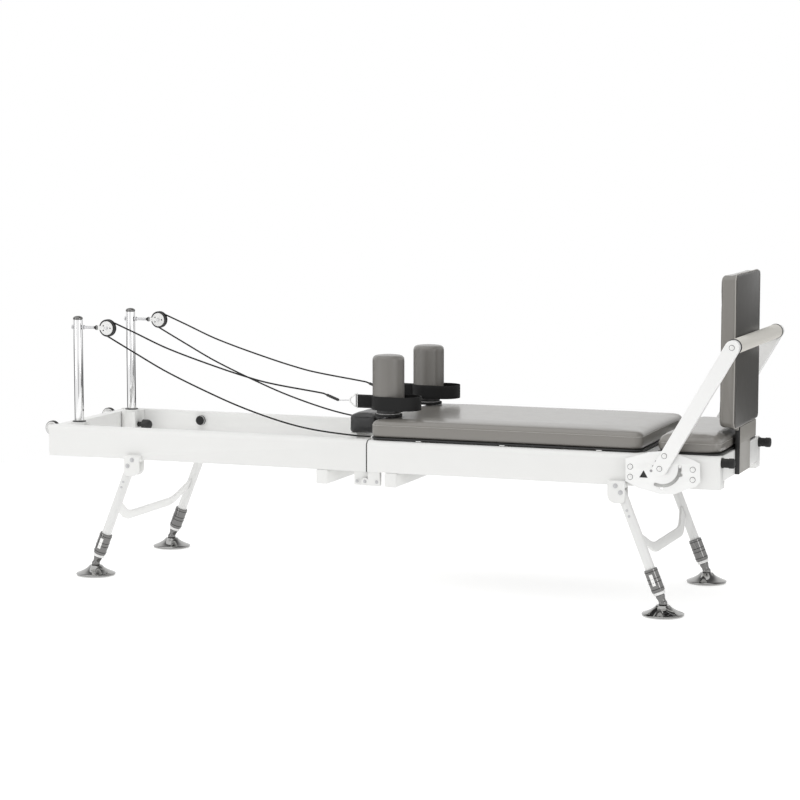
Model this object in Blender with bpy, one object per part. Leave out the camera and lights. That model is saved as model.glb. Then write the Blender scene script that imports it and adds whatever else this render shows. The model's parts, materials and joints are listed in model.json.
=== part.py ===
"""Folding pilates reformer: a rail frame hinged at its middle, a sprung carriage, a footbar, a jump board.

X runs along the rails, with the pulley posts at the left and the footbar at the right. Y runs across, and
the near side is negative. The floor is at Z 0. Shapes are written from the fold between the rail halves,
and the reformer empty moves that line so that the whole object is centred on X 0.
"""

import math
from collections import namedtuple

import bmesh
import bpy
from mathutils import Matrix, Vector

# Gaps between pieces that touch, and between pieces that run
FIT = 0.0003
RUN = 0.0005

# How far joined shapes run into each other, pins into what holds them, and cutters past what they open
SINK = 0.002
SEAT = 0.001
OVERSHOOT = 0.005

# A small step that keeps the faces of joined shapes out of one plane
JOG = 0.0005

# Rails, from the fold to each end
RAIL_LENGTH = 1.180
RAIL_OUTER_Y = 0.296
RAIL_WIDTH = 0.045
FRAME_HEIGHT = 0.409
RAIL_HEIGHT = 0.104
RAIL_EDGE_RADIUS = 0.020
TRACK_WIDTH = 0.020
TRACK_HEIGHT = 0.021

# Cross members of the frame
END_BEAM_LENGTH = 0.040
BEAM_TOP_DROP = 0.002
CROSS_TUBE_WIDTH = 0.042
CROSS_TUBE_HEIGHT = 0.048
CROSS_TUBE_OVERHANG = 0.002
FOOT_CROSS_TUBE_X = 0.082
PULLEY_CROSS_TUBE_X = -0.160
CROSS_TUBE_EDGE = 0.004
BEAM_EDGE = 0.0015

# Fold hinge under the rails
FOLD_PIVOT_X = -0.010
FOLD_PIVOT_DROP = 0.034
FOLD_KNUCKLE_RADIUS = 0.013
FOLD_PIN_RADIUS = 0.005
FOLD_LEAF_THICKNESS = 0.006
FOLD_LEAF_INSET = 0.006
FOOT_LEAF_END_X = 0.042
PULLEY_LEAF_END_X = -0.050

# Legs, measured from the rail end and along the leg
LEG_HINGE_INSET = 0.314
LEG_HINGE_DROP = 0.025
LEG_OUTSET = 0.002
LEG_RADIUS = 0.016
FOOT_INSET = 0.176
LEG_COLLAR_RADIUS = 0.0215
LEG_COLLAR_LENGTH = 0.076
LEG_RING_RADIUS = 0.019
LEG_RING_LENGTH = 0.010
LEG_PIN_RADIUS = 0.006
BRACKET_PLATE = 0.004
BRACKET_BACK = 0.042
BRACKET_FRONT = 0.014
BRACKET_BELOW = 0.030
BRACKET_ABOVE = 0.015
BRACKET_CLEARANCE = 0.0035
BRACKET_BACK_ROUND = 0.026
BRACKET_FRONT_ROUND = 0.012

# Levelling stems and foot discs
STEM_SHAFT_RADIUS = 0.009
STEM_SHAFT_LENGTH = 0.070
STEM_TOP_RADIUS = 0.015
STEM_NECK_RADIUS = 0.012
STEM_LENGTH = 0.0296
BALL_RADIUS = 0.014
DISC_RADIUS = 0.0675
DISC_RIM_HEIGHT = 0.010
DISC_RIM_EDGE = 0.003
DISC_BULGE = 0.003
DISC_SHOULDER_RADIUS = 0.046
DISC_SHOULDER_HEIGHT = 0.015
DISC_TOP_RADIUS = 0.021
DISC_TOP_HEIGHT = 0.034
BALL_SEAT_DEPTH = 0.008

# Brace between each pair of legs, placed along the leg
BRACE_DROP = 0.205
BRACE_END_DROP = 0.150
BRACE_BEND_Y = 0.178
BRACE_HEIGHT = 0.032
BRACE_THICKNESS = 0.008

# Posts, their sockets and their clamp knobs
POST_INSET = 0.068
POST_Y = 0.200
POST_RADIUS = 0.016
POST_HEIGHT = 0.375
POST_SUNK_LENGTH = 0.071
POST_CAP_RADIUS = 0.0178
POST_CAP_LENGTH = 0.016
POST_CAP_DOME = 0.008
POST_HOLE_RADIUS = 0.0045
POST_HOLE_RISE = 0.047
POST_HOLE_DEPTH = 0.012
SOCKET_LENGTH = 0.052
SOCKET_HEIGHT = 0.091
SOCKET_WALL = 0.0275
FLANGE_RADIUS = 0.030
FLANGE_HEIGHT = 0.006
KNOB_DROP = 0.048
KNOB_RADIUS = 0.0185
KNOB_LENGTH = 0.0445
KNOB_STANDOFF = 0.0105
KNOB_COLLAR_RADIUS = 0.009
KNOB_EDGE = 0.002
KNOB_STEM_RADIUS = 0.005

# Pulley rods, blocks and sheaves
PULLEY_DROP = 0.0395
PULLEY_X_FROM_POST = 0.1154
ROD_RADIUS = 0.005
ROD_TAIL = 0.0235
ROD_NUT_RADIUS = 0.0085
ROD_NUT_LENGTH = 0.0062
SWIVEL_RADIUS = 0.0085
CHEEK_RADIUS = 0.025
CHEEK_THICKNESS = 0.003
CHEEK_TAB_HEIGHT = 0.014
SHEAVE_RADIUS = 0.030
SHEAVE_GROOVE_RADIUS = 0.0229
SHEAVE_WIDTH = 0.014
SHEAVE_LIP = 0.002
GROOVE_FLOOR = 0.0045
GROOVE_ROUND = 0.0007
SHEAVE_AXLE_RADIUS = 0.004
BLOCK_BRIDGE = 0.005
BLOCK_BRIDGE_GAP = 0.0025
SWIVEL_SINK = 0.0034
NUT_SIDES = 6

# Transport wheels and end bumpers
WHEEL_INSET_Y = 0.0395
WHEEL_RADIUS = 0.0248
WHEEL_WIDTH = 0.020
WHEEL_GAP = 0.0056
WHEEL_DROP = 0.020
WHEEL_PLATE = 0.003
WHEEL_PLATE_HEIGHT = 0.026
WHEEL_PLATE_REACH = 0.009
WHEEL_EDGE = 0.003
WHEEL_AXLE_RADIUS = 0.004
BUFFER_INSET = 0.323
BUFFER_DROP = 0.031
BUFFER_RADIUS = 0.018
BUFFER_THICKNESS = 0.012
BUMPER_RADIUS = 0.016
BUMPER_LENGTH = 0.0405
BUMPER_EDGE = 0.0056
BUMPER_DROP = 0.0205

# Carriage
CARRIAGE_GAP = 0.036
CARRIAGE_PAD_LENGTH = 0.928
CARRIAGE_PAD_WIDTH = 0.570
CARRIAGE_PAD_HEIGHT = 0.0675
PAD_CORNER_RADIUS = 0.028
PAD_EDGE_RADIUS = 0.010
PAD_CROWN = 0.005
PAD_SIDE_DRAW = 0.003
PAD_RISE = 0.0035
SUPPORT_THICKNESS = 0.0026
SUPPORT_WIDTH = 0.018
SUPPORT_HEAD_INSETS = (0.174, 0.4605)
SUPPORT_FOOT_INSET = 0.143
SUPPORT_INSET_Y = 0.003
CHASSIS_HEIGHT = 0.045
CHASSIS_DROP = 0.010
CHASSIS_BAR = 0.024
CHASSIS_SIDE_GAP = 0.0215
CHASSIS_STEP = 0.002
CHASSIS_FOOT_INSET = 0.023
CHASSIS_REACH = 0.119
HEADREST_BAR_REACH = 0.034
CARRIAGE_WHEEL_RADIUS = 0.020
CARRIAGE_WHEEL_WIDTH = 0.0155
CARRIAGE_WHEEL_GAP = 0.0030
CARRIAGE_WHEEL_HEAD_INSET = 0.115
CARRIAGE_WHEEL_FOOT_INSET = 0.098
CARRIAGE_AXLE_RADIUS = 0.004
CARRIAGE_BOSS_RADIUS = 0.008

# Headrest, hinged on its lower right edge
HEADREST_LENGTH = 0.1185
HEADREST_WIDTH = 0.300
HEADREST_HEIGHT = 0.0665
HEADREST_LEAN = 0.018
HEADREST_GAP = 0.0065
HEADREST_CORNER = 0.024

# Shoulder rests
REST_INSET = 0.038
REST_Y = 0.196
REST_RADIUS = 0.0535
REST_HEIGHT = 0.188
REST_TOP_ROUND = 0.014
REST_EDGE = 0.004
REST_CROWN = 0.003
REST_FOOT_RADIUS = 0.039
REST_FOOT_HEIGHT = 0.018
REST_PLATE_RADIUS = 0.046
REST_PLATE_HEIGHT = 0.0025
REST_PIN_RADIUS = 0.010
REST_PIN_LENGTH = 0.086
REST_SOCKET_HALF = 0.019

# Foot straps, their rings and rope ends
STRAP_HEIGHT = 0.0455
STRAP_THICKNESS = 0.002
STRAP_SLACK = 0.0565
STRAP_TAIL = 0.062
RING_LENGTH = 0.025
RING_HEIGHT = 0.050
RING_BAR = 0.0032
RING_OVERLAP = 0.005
RING_RISE = 0.006
RING_TIP_HALF = 0.003
LINK_DROP = 0.001
LINK_RADIUS = 0.0016
LINK_LENGTH = 0.044
CLAMP_RADIUS = 0.005
CLAMP_LENGTH = 0.044
CLAMP_RISE = 0.0165
ROPE_RADIUS = 0.00275
ROPE_STEP = 0.050
ROPE_STRAIGHT = 0.012
ROPE_WRAP_TOP = 68.0
ROPE_WRAP_BOTTOM = 241.0
ROPE_WRAP_STEPS = 12
ROPE_TOP_ROUTE = (
    (-0.355, 0.673),
    (-0.4335, 0.687),
    (-0.572, 0.723),
    (-0.767, 0.783),
    (-0.898, 0.836),
)
ROPE_LOW_ROUTE = (
    (-0.899, 0.767),
    (-0.768, 0.701),
    (-0.573, 0.621),
    (-0.4605, 0.582),
    (-0.330, 0.546),
    (-0.225, 0.527),
)
ROPE_END_LENGTH = 0.060
ROPE_END_RISE = 0.001
CLEAT_REACH = 0.020
CLEAT_LENGTH = 0.034
CLEAT_HALF_WIDTH = 0.009
CLEAT_DEPTH = 0.012

# Springs and the bar that holds them
SPRING_RADIUS = 0.011
SPRING_SPACING = 0.120
SPRING_COUNT = 3
SPRING_BAR_INSET = 0.095
SPRING_BAR_WIDTH = 0.020
SPRING_BAR_HEIGHT = 0.040
SPRING_BAR_RISE = 0.010
SPRING_BAR_EDGE = 0.002

# Fixed pad at the foot end
FIXED_PAD_INSET = 0.002
FIXED_PAD_LENGTH = 0.214
FIXED_PAD_WIDTH = 0.550
FIXED_PAD_HEIGHT = 0.0637

# Footbar, its hinge plates and its swing
FOOTBAR_PIVOT_INSET = 0.181
FOOTBAR_PIVOT_RISE = 0.066
FOOTBAR_REACH_X = 0.2235
FOOTBAR_REACH_Z = 0.386
ARM_WIDTH = 0.045
ARM_THICKNESS = 0.030
ARM_GAP = 0.0015
PLATE_STANDOFF = 0.0145
PLATE_THICKNESS = 0.005
PLATE_OUTLINE = (
    (-0.118, 0.023),
    (-0.074, 0.036),
    (-0.043, 0.0465),
    (0.003, 0.052),
    (0.0465, 0.045),
    (0.095, 0.030),
    (0.121, 0.019),
    (0.123, -0.039),
    (0.109, -0.056),
    (0.082, -0.065),
    (0.042, -0.0824),
    (-0.004, -0.085),
    (-0.076, -0.069),
    (-0.117, -0.048),
)
PLATE_BOLTS = ((-0.102, -0.002), (-0.102, -0.0345), (0.099, -0.002), (0.099, -0.034))
PLATE_SPACER_RADIUS = 0.009
PLATE_BOLT_RADIUS = 0.007
PLATE_BOLT_PROUD = 0.0008
PLATE_WINDOW = (-0.059, -0.027)
PLATE_WINDOW_SIZE = 0.016
SHAFT_RADIUS = 0.0095
SLOT_RADIUS = 0.058
SLOT_START = 6.0
SLOT_END = -110.5
SLOT_NOTCHES = (-19.0, -91.0)
SLOT_PIN_RADIUS = 0.005
NOTCH_RADIUS = 0.006
NOTCH_OFFSET = 0.006
LEVER_THICKNESS = 0.007
LEVER_CLEARANCE = 0.004
LEVER_WALL = 0.003
SHAFT_SEAT = 0.004
GRIP_RADIUS = 0.0235
GRIP_EDGE = 0.004

# Jump board and the bracket that carries it
BOARD_THICKNESS = 0.055
BOARD_WIDTH = 0.352
BOARD_HEIGHT = 0.491
BOARD_CORNER = 0.022
BOARD_EDGE_RADIUS = 0.009
BOARD_CROWN = 0.004
BRACKET_TOP_RISE = 0.072
BRACKET_BAR_HEIGHT = 0.055
BRACKET_BAR_REACH = 0.151
BRACKET_BAR_THICKNESS = 0.0155
BRACKET_BAR_EDGE = 0.001
TONGUE_PLATE_WIDTH = 0.168
TONGUE_PLATE_THICKNESS = 0.0115
TONGUE_PLATE_DROP = 0.081
TONGUE_WIDTH = 0.200
TONGUE_THICKNESS = 0.008
TONGUE_RISE = 0.035
TONGUE_ROOT = 0.010
TONGUE_INSET = 0.003
GUIDE_NECK_HALF = 0.020
GUIDE_HEAD_HALF = 0.035
GUIDE_NECK_DEPTH = 0.0035
GUIDE_HEAD_DEPTH = 0.004
GUIDE_HEIGHT = 0.060
GUIDE_TOP_DROP = 0.013

# Levels and lines that follow from the sizes above
RAIL_TOP = FRAME_HEIGHT + RAIL_HEIGHT
RAIL_INNER_Y = RAIL_OUTER_Y - RAIL_WIDTH
TRACK_TOP = FRAME_HEIGHT + TRACK_HEIGHT
BEAM_TOP = RAIL_TOP - BEAM_TOP_DROP
BEAM_HALF_WIDTH = RAIL_INNER_Y - FIT
FOLD_PIVOT_Z = FRAME_HEIGHT - FOLD_PIVOT_DROP
LEG_HINGE_X = RAIL_LENGTH - LEG_HINGE_INSET
LEG_HINGE_Z = FRAME_HEIGHT - LEG_HINGE_DROP
LEG_Y = RAIL_OUTER_Y + LEG_OUTSET
BRACE_HALF_LENGTH = LEG_Y - LEG_RADIUS - FIT
FOOT_X = RAIL_LENGTH - FOOT_INSET
BALL_Z = DISC_TOP_HEIGHT + BALL_RADIUS - BALL_SEAT_DEPTH
LEG_TILT = math.atan2(FOOT_X - LEG_HINGE_X, LEG_HINGE_Z - BALL_Z)
LEG_REACH = math.hypot(FOOT_X - LEG_HINGE_X, LEG_HINGE_Z - BALL_Z)
LEG_END = LEG_REACH - STEM_LENGTH
LEG_RING_START = LEG_END - LEG_RING_LENGTH
LEG_COLLAR_START = LEG_RING_START - LEG_COLLAR_LENGTH
POST_X = -(RAIL_LENGTH - POST_INSET)
POST_BASE = BEAM_TOP + 2 * FIT
PULLEY_Z = POST_BASE + POST_HEIGHT - PULLEY_DROP + FIT
PULLEY_X = POST_X + PULLEY_X_FROM_POST
BLOCK_BACK_X = PULLEY_X - SHEAVE_RADIUS - BLOCK_BRIDGE_GAP - BLOCK_BRIDGE
SHEAVE_BORE_RADIUS = SHEAVE_AXLE_RADIUS + FIT
ROPE_WRAP_RADIUS = SHEAVE_GROOVE_RADIUS + ROPE_RADIUS + FIT
WHEEL_X = -(RAIL_LENGTH + WHEEL_GAP + WHEEL_RADIUS)
WHEEL_Y = RAIL_INNER_Y - WHEEL_INSET_Y
WHEEL_Z = RAIL_TOP - WHEEL_DROP
BUFFER_X = -(RAIL_LENGTH - BUFFER_INSET)
FIXED_PAD_START_X = RAIL_LENGTH - FIXED_PAD_INSET - FIXED_PAD_LENGTH
CARRIAGE_FOOT_X = FIXED_PAD_START_X - CARRIAGE_GAP
CARRIAGE_HEAD_X = CARRIAGE_FOOT_X - CARRIAGE_PAD_LENGTH
PAD_BOTTOM = RAIL_TOP + PAD_RISE
SUPPORT_TOP = PAD_BOTTOM - FIT
PAD_TOP = PAD_BOTTOM + CARRIAGE_PAD_HEIGHT
SUPPORT_PLACES = [CARRIAGE_HEAD_X + inset for inset in SUPPORT_HEAD_INSETS]
SUPPORT_PLACES.append(CARRIAGE_FOOT_X - SUPPORT_FOOT_INSET)
CHASSIS_BACK_X = CARRIAGE_FOOT_X - CHASSIS_FOOT_INSET
CHASSIS_FRONT_X = CARRIAGE_HEAD_X - CHASSIS_REACH
HEADREST_BAR_X = CARRIAGE_HEAD_X - HEADREST_BAR_REACH
CHASSIS_TOP = RAIL_TOP - CHASSIS_DROP
CHASSIS_BOTTOM = CHASSIS_TOP - CHASSIS_HEIGHT
CHASSIS_OUTER_Y = RAIL_INNER_Y - CHASSIS_SIDE_GAP
CHASSIS_INNER_Y = CHASSIS_OUTER_Y - CHASSIS_BAR
CARRIAGE_WHEEL_PLACES = (
    CARRIAGE_HEAD_X + CARRIAGE_WHEEL_HEAD_INSET,
    CARRIAGE_FOOT_X - CARRIAGE_WHEEL_FOOT_INSET,
)
CARRIAGE_WHEEL_Z = TRACK_TOP + FIT + CARRIAGE_WHEEL_RADIUS
CARRIAGE_WHEEL_Y = RAIL_INNER_Y - CARRIAGE_WHEEL_GAP - CARRIAGE_WHEEL_WIDTH / 2
REST_X = CARRIAGE_HEAD_X + REST_INSET
REST_BASE = PAD_TOP + FIT
STRAP_BOTTOM = REST_BASE + REST_FOOT_HEIGHT
STRAP_MIDDLE = STRAP_BOTTOM + STRAP_HEIGHT / 2 + RING_RISE
STRAP_INNER_RADIUS = REST_RADIUS + RUN
STRAP_TAIL_END_X = REST_X - STRAP_INNER_RADIUS - STRAP_TAIL
RING_TIP_X = STRAP_TAIL_END_X + RING_OVERLAP - RING_LENGTH
LINK_END_X = RING_TIP_X + RING_BAR - LINK_LENGTH
CLAMP_END_X = LINK_END_X - CLAMP_LENGTH
CLAMP_START_Z = STRAP_MIDDLE - LINK_DROP
CLAMP_END_Z = CLAMP_START_Z + CLAMP_RISE
CLEAT_X = CARRIAGE_HEAD_X - CLEAT_REACH
ROPE_Z_AT_CLEAT = SUPPORT_TOP - ROPE_RADIUS
FIXED_PAD_BOTTOM = RAIL_TOP + FIT
SPRING_BAR_X = RAIL_LENGTH - SPRING_BAR_INSET
FOOTBAR_PIVOT_X = RAIL_LENGTH - FOOTBAR_PIVOT_INSET
FOOTBAR_PIVOT_Z = FRAME_HEIGHT + FOOTBAR_PIVOT_RISE
GRIP_X = FOOTBAR_PIVOT_X + FOOTBAR_REACH_X
GRIP_Z = FOOTBAR_PIVOT_Z + FOOTBAR_REACH_Z
PLATE_INNER_Y = RAIL_OUTER_Y + PLATE_STANDOFF
PLATE_OUTER_Y = PLATE_INNER_Y + PLATE_THICKNESS
ARM_INNER_Y = PLATE_OUTER_Y + ARM_GAP
ARM_OUTER_Y = ARM_INNER_Y + ARM_THICKNESS
BRACKET_X = RAIL_LENGTH + RUN
BRACKET_TOP = RAIL_TOP + BRACKET_TOP_RISE
BOARD_BOTTOM = BRACKET_TOP + FIT
BRACKET_BACK_X = BRACKET_X + BRACKET_BAR_THICKNESS
BOARD_BACK_X = BRACKET_BACK_X + SEAT
TONGUE_X = BRACKET_X + TONGUE_INSET
GUIDE_NECK_X = BRACKET_X + GUIDE_NECK_DEPTH
GUIDE_TOP = RAIL_TOP - GUIDE_TOP_DROP
LEFT_REACH = WHEEL_X - WHEEL_RADIUS
RIGHT_REACH = GRIP_X + GRIP_RADIUS
FOLD_X = -(LEFT_REACH + RIGHT_REACH) / 2

# Sides of a round piece by how much of it shows
FINE_ROUND = 20
ROUND = 16
PIN_ROUND = 12

# The two sides and the two ends of the frame
SIDES = (("near", -1), ("far", 1))
ENDS = (("foot", 1), ("pulley", -1))

Look = namedtuple("Look", "colour roughness metallic")
WHITE_PAINT = Look((0.86, 0.86, 0.84), 0.35, 0.0)
WHITE_PLASTIC = Look((0.80, 0.80, 0.79), 0.45, 0.0)
BLACK_PLASTIC = Look((0.03, 0.03, 0.03), 0.45, 0.0)
BLACK_RUBBER = Look((0.02, 0.02, 0.02), 0.75, 0.0)
CHROME = Look((0.75, 0.75, 0.76), 0.12, 1.0)
DARK_CHROME = Look((0.33, 0.33, 0.34), 0.18, 1.0)
STEEL = Look((0.55, 0.55, 0.56), 0.35, 1.0)
GREY_VINYL = Look((0.25, 0.24, 0.22), 0.50, 0.0)
BLACK_VINYL = Look((0.03, 0.03, 0.03), 0.50, 0.0)
BLACK_WEBBING = Look((0.02, 0.02, 0.02), 0.85, 0.0)
BEIGE_FOAM = Look((0.52, 0.50, 0.46), 0.80, 0.0)
BEIGE_METAL = Look((0.39, 0.37, 0.34), 0.45, 0.0)

PLACES = {}


def clear_scene():
    """Start from an empty scene."""
    for old in list(bpy.data.objects):
        bpy.data.objects.remove(old, do_unlink=True)


def outward(shape):
    """Turn every face of a closed shape outwards."""
    bmesh.ops.recalc_face_normals(shape, faces=shape.faces)
    return shape


def block(corner, opposite, rounding=0.0, steps=2):
    """A box between two opposite corners, with its edges rounded if asked."""
    low = Vector(map(min, corner, opposite))
    high = Vector(map(max, corner, opposite))
    shape = bmesh.new()
    place = Matrix.Translation((low + high) / 2) @ Matrix.Diagonal((*(high - low), 1.0))
    bmesh.ops.create_cube(shape, size=1.0, matrix=place)
    if rounding > 0.0:
        edges = shape.edges[:]
        bmesh.ops.bevel(shape, geom=edges, offset=rounding, segments=steps, profile=0.5, affect="EDGES")
    return outward(shape)


def rod(start, end, radius, sides=ROUND):
    """A round bar between two points."""
    start = Vector(start)
    end = Vector(end)
    along = end - start
    place = Matrix.Translation((start + end) / 2) @ along.to_track_quat("Z", "Y").to_matrix().to_4x4()
    shape = bmesh.new()
    bmesh.ops.create_cone(
        shape,
        cap_ends=True,
        segments=sides,
        radius1=radius,
        radius2=radius,
        depth=along.length,
        matrix=place,
    )
    return outward(shape)


def prism(outline, plane, start, end):
    """An outline in the XZ, YZ or XY plane, swept square to that plane from start to end."""
    corner = {
        "XZ": lambda a, b, c: (a, c, b),
        "YZ": lambda a, b, c: (c, a, b),
        "XY": lambda a, b, c: (a, b, c),
    }[plane]
    shape = bmesh.new()
    first = [shape.verts.new(corner(a, b, start)) for a, b in outline]
    last = [shape.verts.new(corner(a, b, end)) for a, b in outline]
    shape.faces.new(first)
    shape.faces.new(last)
    for index in range(len(outline)):
        after = (index + 1) % len(outline)
        shape.faces.new((first[index], first[after], last[after], last[index]))
    return outward(shape)


def turned(profile, axis="Z", centre=(0.0, 0.0, 0.0), sides=ROUND):
    """A profile of radius and height pairs, spun about an axis through the centre."""
    shape = bmesh.new()
    points = [shape.verts.new((radius, 0.0, height)) for radius, height in profile]
    edges = [shape.edges.new(pair) for pair in zip(points, points[1:])]
    bmesh.ops.spin(
        shape,
        geom=points + edges,
        cent=(0, 0, 0),
        axis=(0, 0, 1),
        angle=math.tau,
        steps=sides,
        use_merge=True,
    )
    bmesh.ops.remove_doubles(shape, verts=shape.verts, dist=0.000002)
    turn = {
        "X": Matrix.Rotation(math.pi / 2, 4, "Y"),
        "Y": Matrix.Rotation(-math.pi / 2, 4, "X"),
        "Z": Matrix.Identity(4),
    }[axis]
    bmesh.ops.transform(shape, matrix=Matrix.Translation(centre) @ turn, verts=shape.verts)
    return outward(shape)


def arc(centre, radius, start, end, steps):
    """Points on an arc, from the start angle to the end angle in degrees."""
    points = []
    for step in range(steps + 1):
        angle = math.radians(start + (end - start) * step / steps)
        points.append((centre[0] + radius * math.cos(angle), centre[1] + radius * math.sin(angle)))
    return points


def dome(radius, base, height, steps):
    """The radius and height pairs of a rounded cap, from its rim up to its peak on the axis."""
    quarter = arc((0.0, 0.0), 1.0, 0.0, 90.0, steps)[:-1]
    return [(radius * across, base + height * up) for across, up in quarter] + [(0.0, base + height)]


def stadium(start, end, start_radius, end_radius, steps=8):
    """The outline round two circles that are joined by straight sides."""
    heading = math.degrees(math.atan2(end[1] - start[1], end[0] - start[0]))
    back = arc(start, start_radius, heading + 90.0, heading + 270.0, steps)
    front = arc(end, end_radius, heading - 90.0, heading + 90.0, steps)
    return back + front


def rounded_rectangle(length, width, radius, long_steps, short_steps, corner_steps):
    """Points round a round-cornered rectangle, each with its way out and its share of the draw-in."""
    points = []
    half = (length / 2 - radius, width / 2 - radius)
    sides = (
        ((1, -1), (1, 1), (1, 0), short_steps),
        ((1, 1), (-1, 1), (0, 1), long_steps),
        ((-1, 1), (-1, -1), (-1, 0), short_steps),
        ((-1, -1), (1, -1), (0, -1), long_steps),
    )
    for first, last, face, steps in sides:
        for step in range(steps):
            share = step / steps
            at_x = half[0] * (first[0] + (last[0] - first[0]) * share) + radius * face[0]
            at_y = half[1] * (first[1] + (last[1] - first[1]) * share) + radius * face[1]
            points.append((at_x, at_y, face, math.sin(math.pi * share)))
        facing = math.atan2(face[1], face[0])
        for step in range(corner_steps):
            angle = facing + math.pi / 2 * step / corner_steps
            way = (math.cos(angle), math.sin(angle))
            at_x = half[0] * last[0] + radius * way[0]
            at_y = half[1] * last[1] + radius * way[1]
            points.append((at_x, at_y, way, 0.0))
    return points


def cushion(length, width, height, corner, edge, crown, draw, steps=(12, 8, 4)):
    """A padded block on a flat base: rolled edges, sides drawn in between the corners, a crowned top."""
    outline = rounded_rectangle(length, width, corner, *steps)
    shoulder = height - crown
    rings = []
    for inset, level, pull in (
        (edge * 0.7, 0.0, 0.0),
        (0.0, edge * 0.7, 0.2),
        (0.0, shoulder / 2, 1.0),
        (0.0, shoulder - edge, 0.3),
        (edge * 0.3, shoulder - edge * 0.3, 0.0),
        (edge, shoulder, 0.0),
    ):
        ring = []
        for x, y, way, share in outline:
            pulled = inset + draw * pull * share
            ring.append((x - way[0] * pulled, y - way[1] * pulled, level))
        rings.append(ring)
    for share in (0.75, 0.4):
        level = shoulder + crown * (1.0 - share * share)
        rings.append([(x * share, y * share, level) for x, y, _ in rings[5]])
    shape = bmesh.new()
    levels = [[shape.verts.new(point) for point in ring] for ring in rings]
    shape.faces.new(levels[0])
    count = len(outline)
    for lower, upper in zip(levels, levels[1:]):
        for index in range(count):
            after = (index + 1) % count
            shape.faces.new((lower[index], lower[after], upper[after], upper[index]))
    peak = shape.verts.new((0.0, 0.0, height))
    for index in range(count):
        shape.faces.new((levels[-1][index], levels[-1][(index + 1) % count], peak))
    return outward(shape)


def moved(shape, matrix):
    """The same shape in another place."""
    bmesh.ops.transform(shape, matrix=matrix, verts=shape.verts)
    return shape


def shape_object(name, shape, origin):
    """An object that holds a shape, with its own origin at the given point of that shape."""
    bmesh.ops.translate(shape, verts=shape.verts, vec=-Vector(origin))
    mesh = bpy.data.meshes.new(name)
    shape.to_mesh(mesh)
    shape.free()
    mesh.shade_smooth()
    mesh.set_sharp_from_angle(angle=math.radians(35))
    holder = bpy.data.objects.new(name, mesh)
    bpy.context.collection.objects.link(holder)
    return holder


def finish(piece, look):
    """Give a piece its own plain material."""
    surface = bpy.data.materials.new(piece.name + "_finish")
    surface.use_nodes = True
    shader = surface.node_tree.nodes["Principled BSDF"]
    shader.inputs["Base Color"].default_value = (*look.colour, 1.0)
    shader.inputs["Roughness"].default_value = look.roughness
    shader.inputs["Metallic"].default_value = look.metallic
    piece.data.materials.append(surface)


def attach(holder, place, parent):
    """Hang an object or an empty on its parent, at a place measured from the fold and the floor."""
    PLACES[holder.name] = Vector(place)
    holder.parent = parent
    holder.location = Vector(place) - PLACES[parent.name]


def body(name, place, parent):
    """An empty on a joint's axis, which carries the pieces that move with that joint."""
    empty = bpy.data.objects.new(name, None)
    bpy.context.collection.objects.link(empty)
    attach(empty, place, parent)
    return empty


def piece(name, parent, look, base, joins=(), cuts=(), origin=None, place=None, tilt=0.0):
    """One named piece: a base shape, with shapes joined to it and then shapes cut out of it."""
    origin = PLACES[parent.name] if origin is None else origin
    target = shape_object(name, base, origin)
    attach(target, origin if place is None else place, parent)
    target.rotation_euler = (0.0, tilt, 0.0)
    finish(target, look)
    for operation, shapes in (("UNION", joins), ("DIFFERENCE", cuts)):
        for number, extra in enumerate(shapes):
            tool = shape_object(f"{name}_{operation.lower()}_{number}", extra, origin)
            tool.parent = target
            tool.hide_render = True
            tool.display_type = "WIRE"
            modifier = target.modifiers.new(tool.name, "BOOLEAN")
            modifier.operation = operation
            modifier.solver = "EXACT"
            modifier.object = tool
    return target


def rail_section(side):
    """The rail's outline across: a round outer edge at the top, and the track along its inner foot."""
    edge_centre = (RAIL_OUTER_Y - RAIL_EDGE_RADIUS, RAIL_TOP - RAIL_EDGE_RADIUS)
    track_y = RAIL_INNER_Y - TRACK_WIDTH
    outline = [(track_y, FRAME_HEIGHT), (RAIL_OUTER_Y, FRAME_HEIGHT)]
    outline += arc(edge_centre, RAIL_EDGE_RADIUS, 0.0, 90.0, 4)
    outline += [(RAIL_INNER_Y, RAIL_TOP), (RAIL_INNER_Y, TRACK_TOP), (track_y, TRACK_TOP)]
    return [(side * y, z) for y, z in outline]


def foot_round(x, low, reach):
    """A plate's rounded lower corner, from its edge at x down to its foot and in by the reach."""
    radius = abs(reach)
    centre = (x + reach, low + radius)
    first = 180.0 if reach > 0.0 else 0.0
    last = 270.0 if reach > 0.0 else -90.0
    return arc(centre, radius, first, last, 4)


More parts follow.
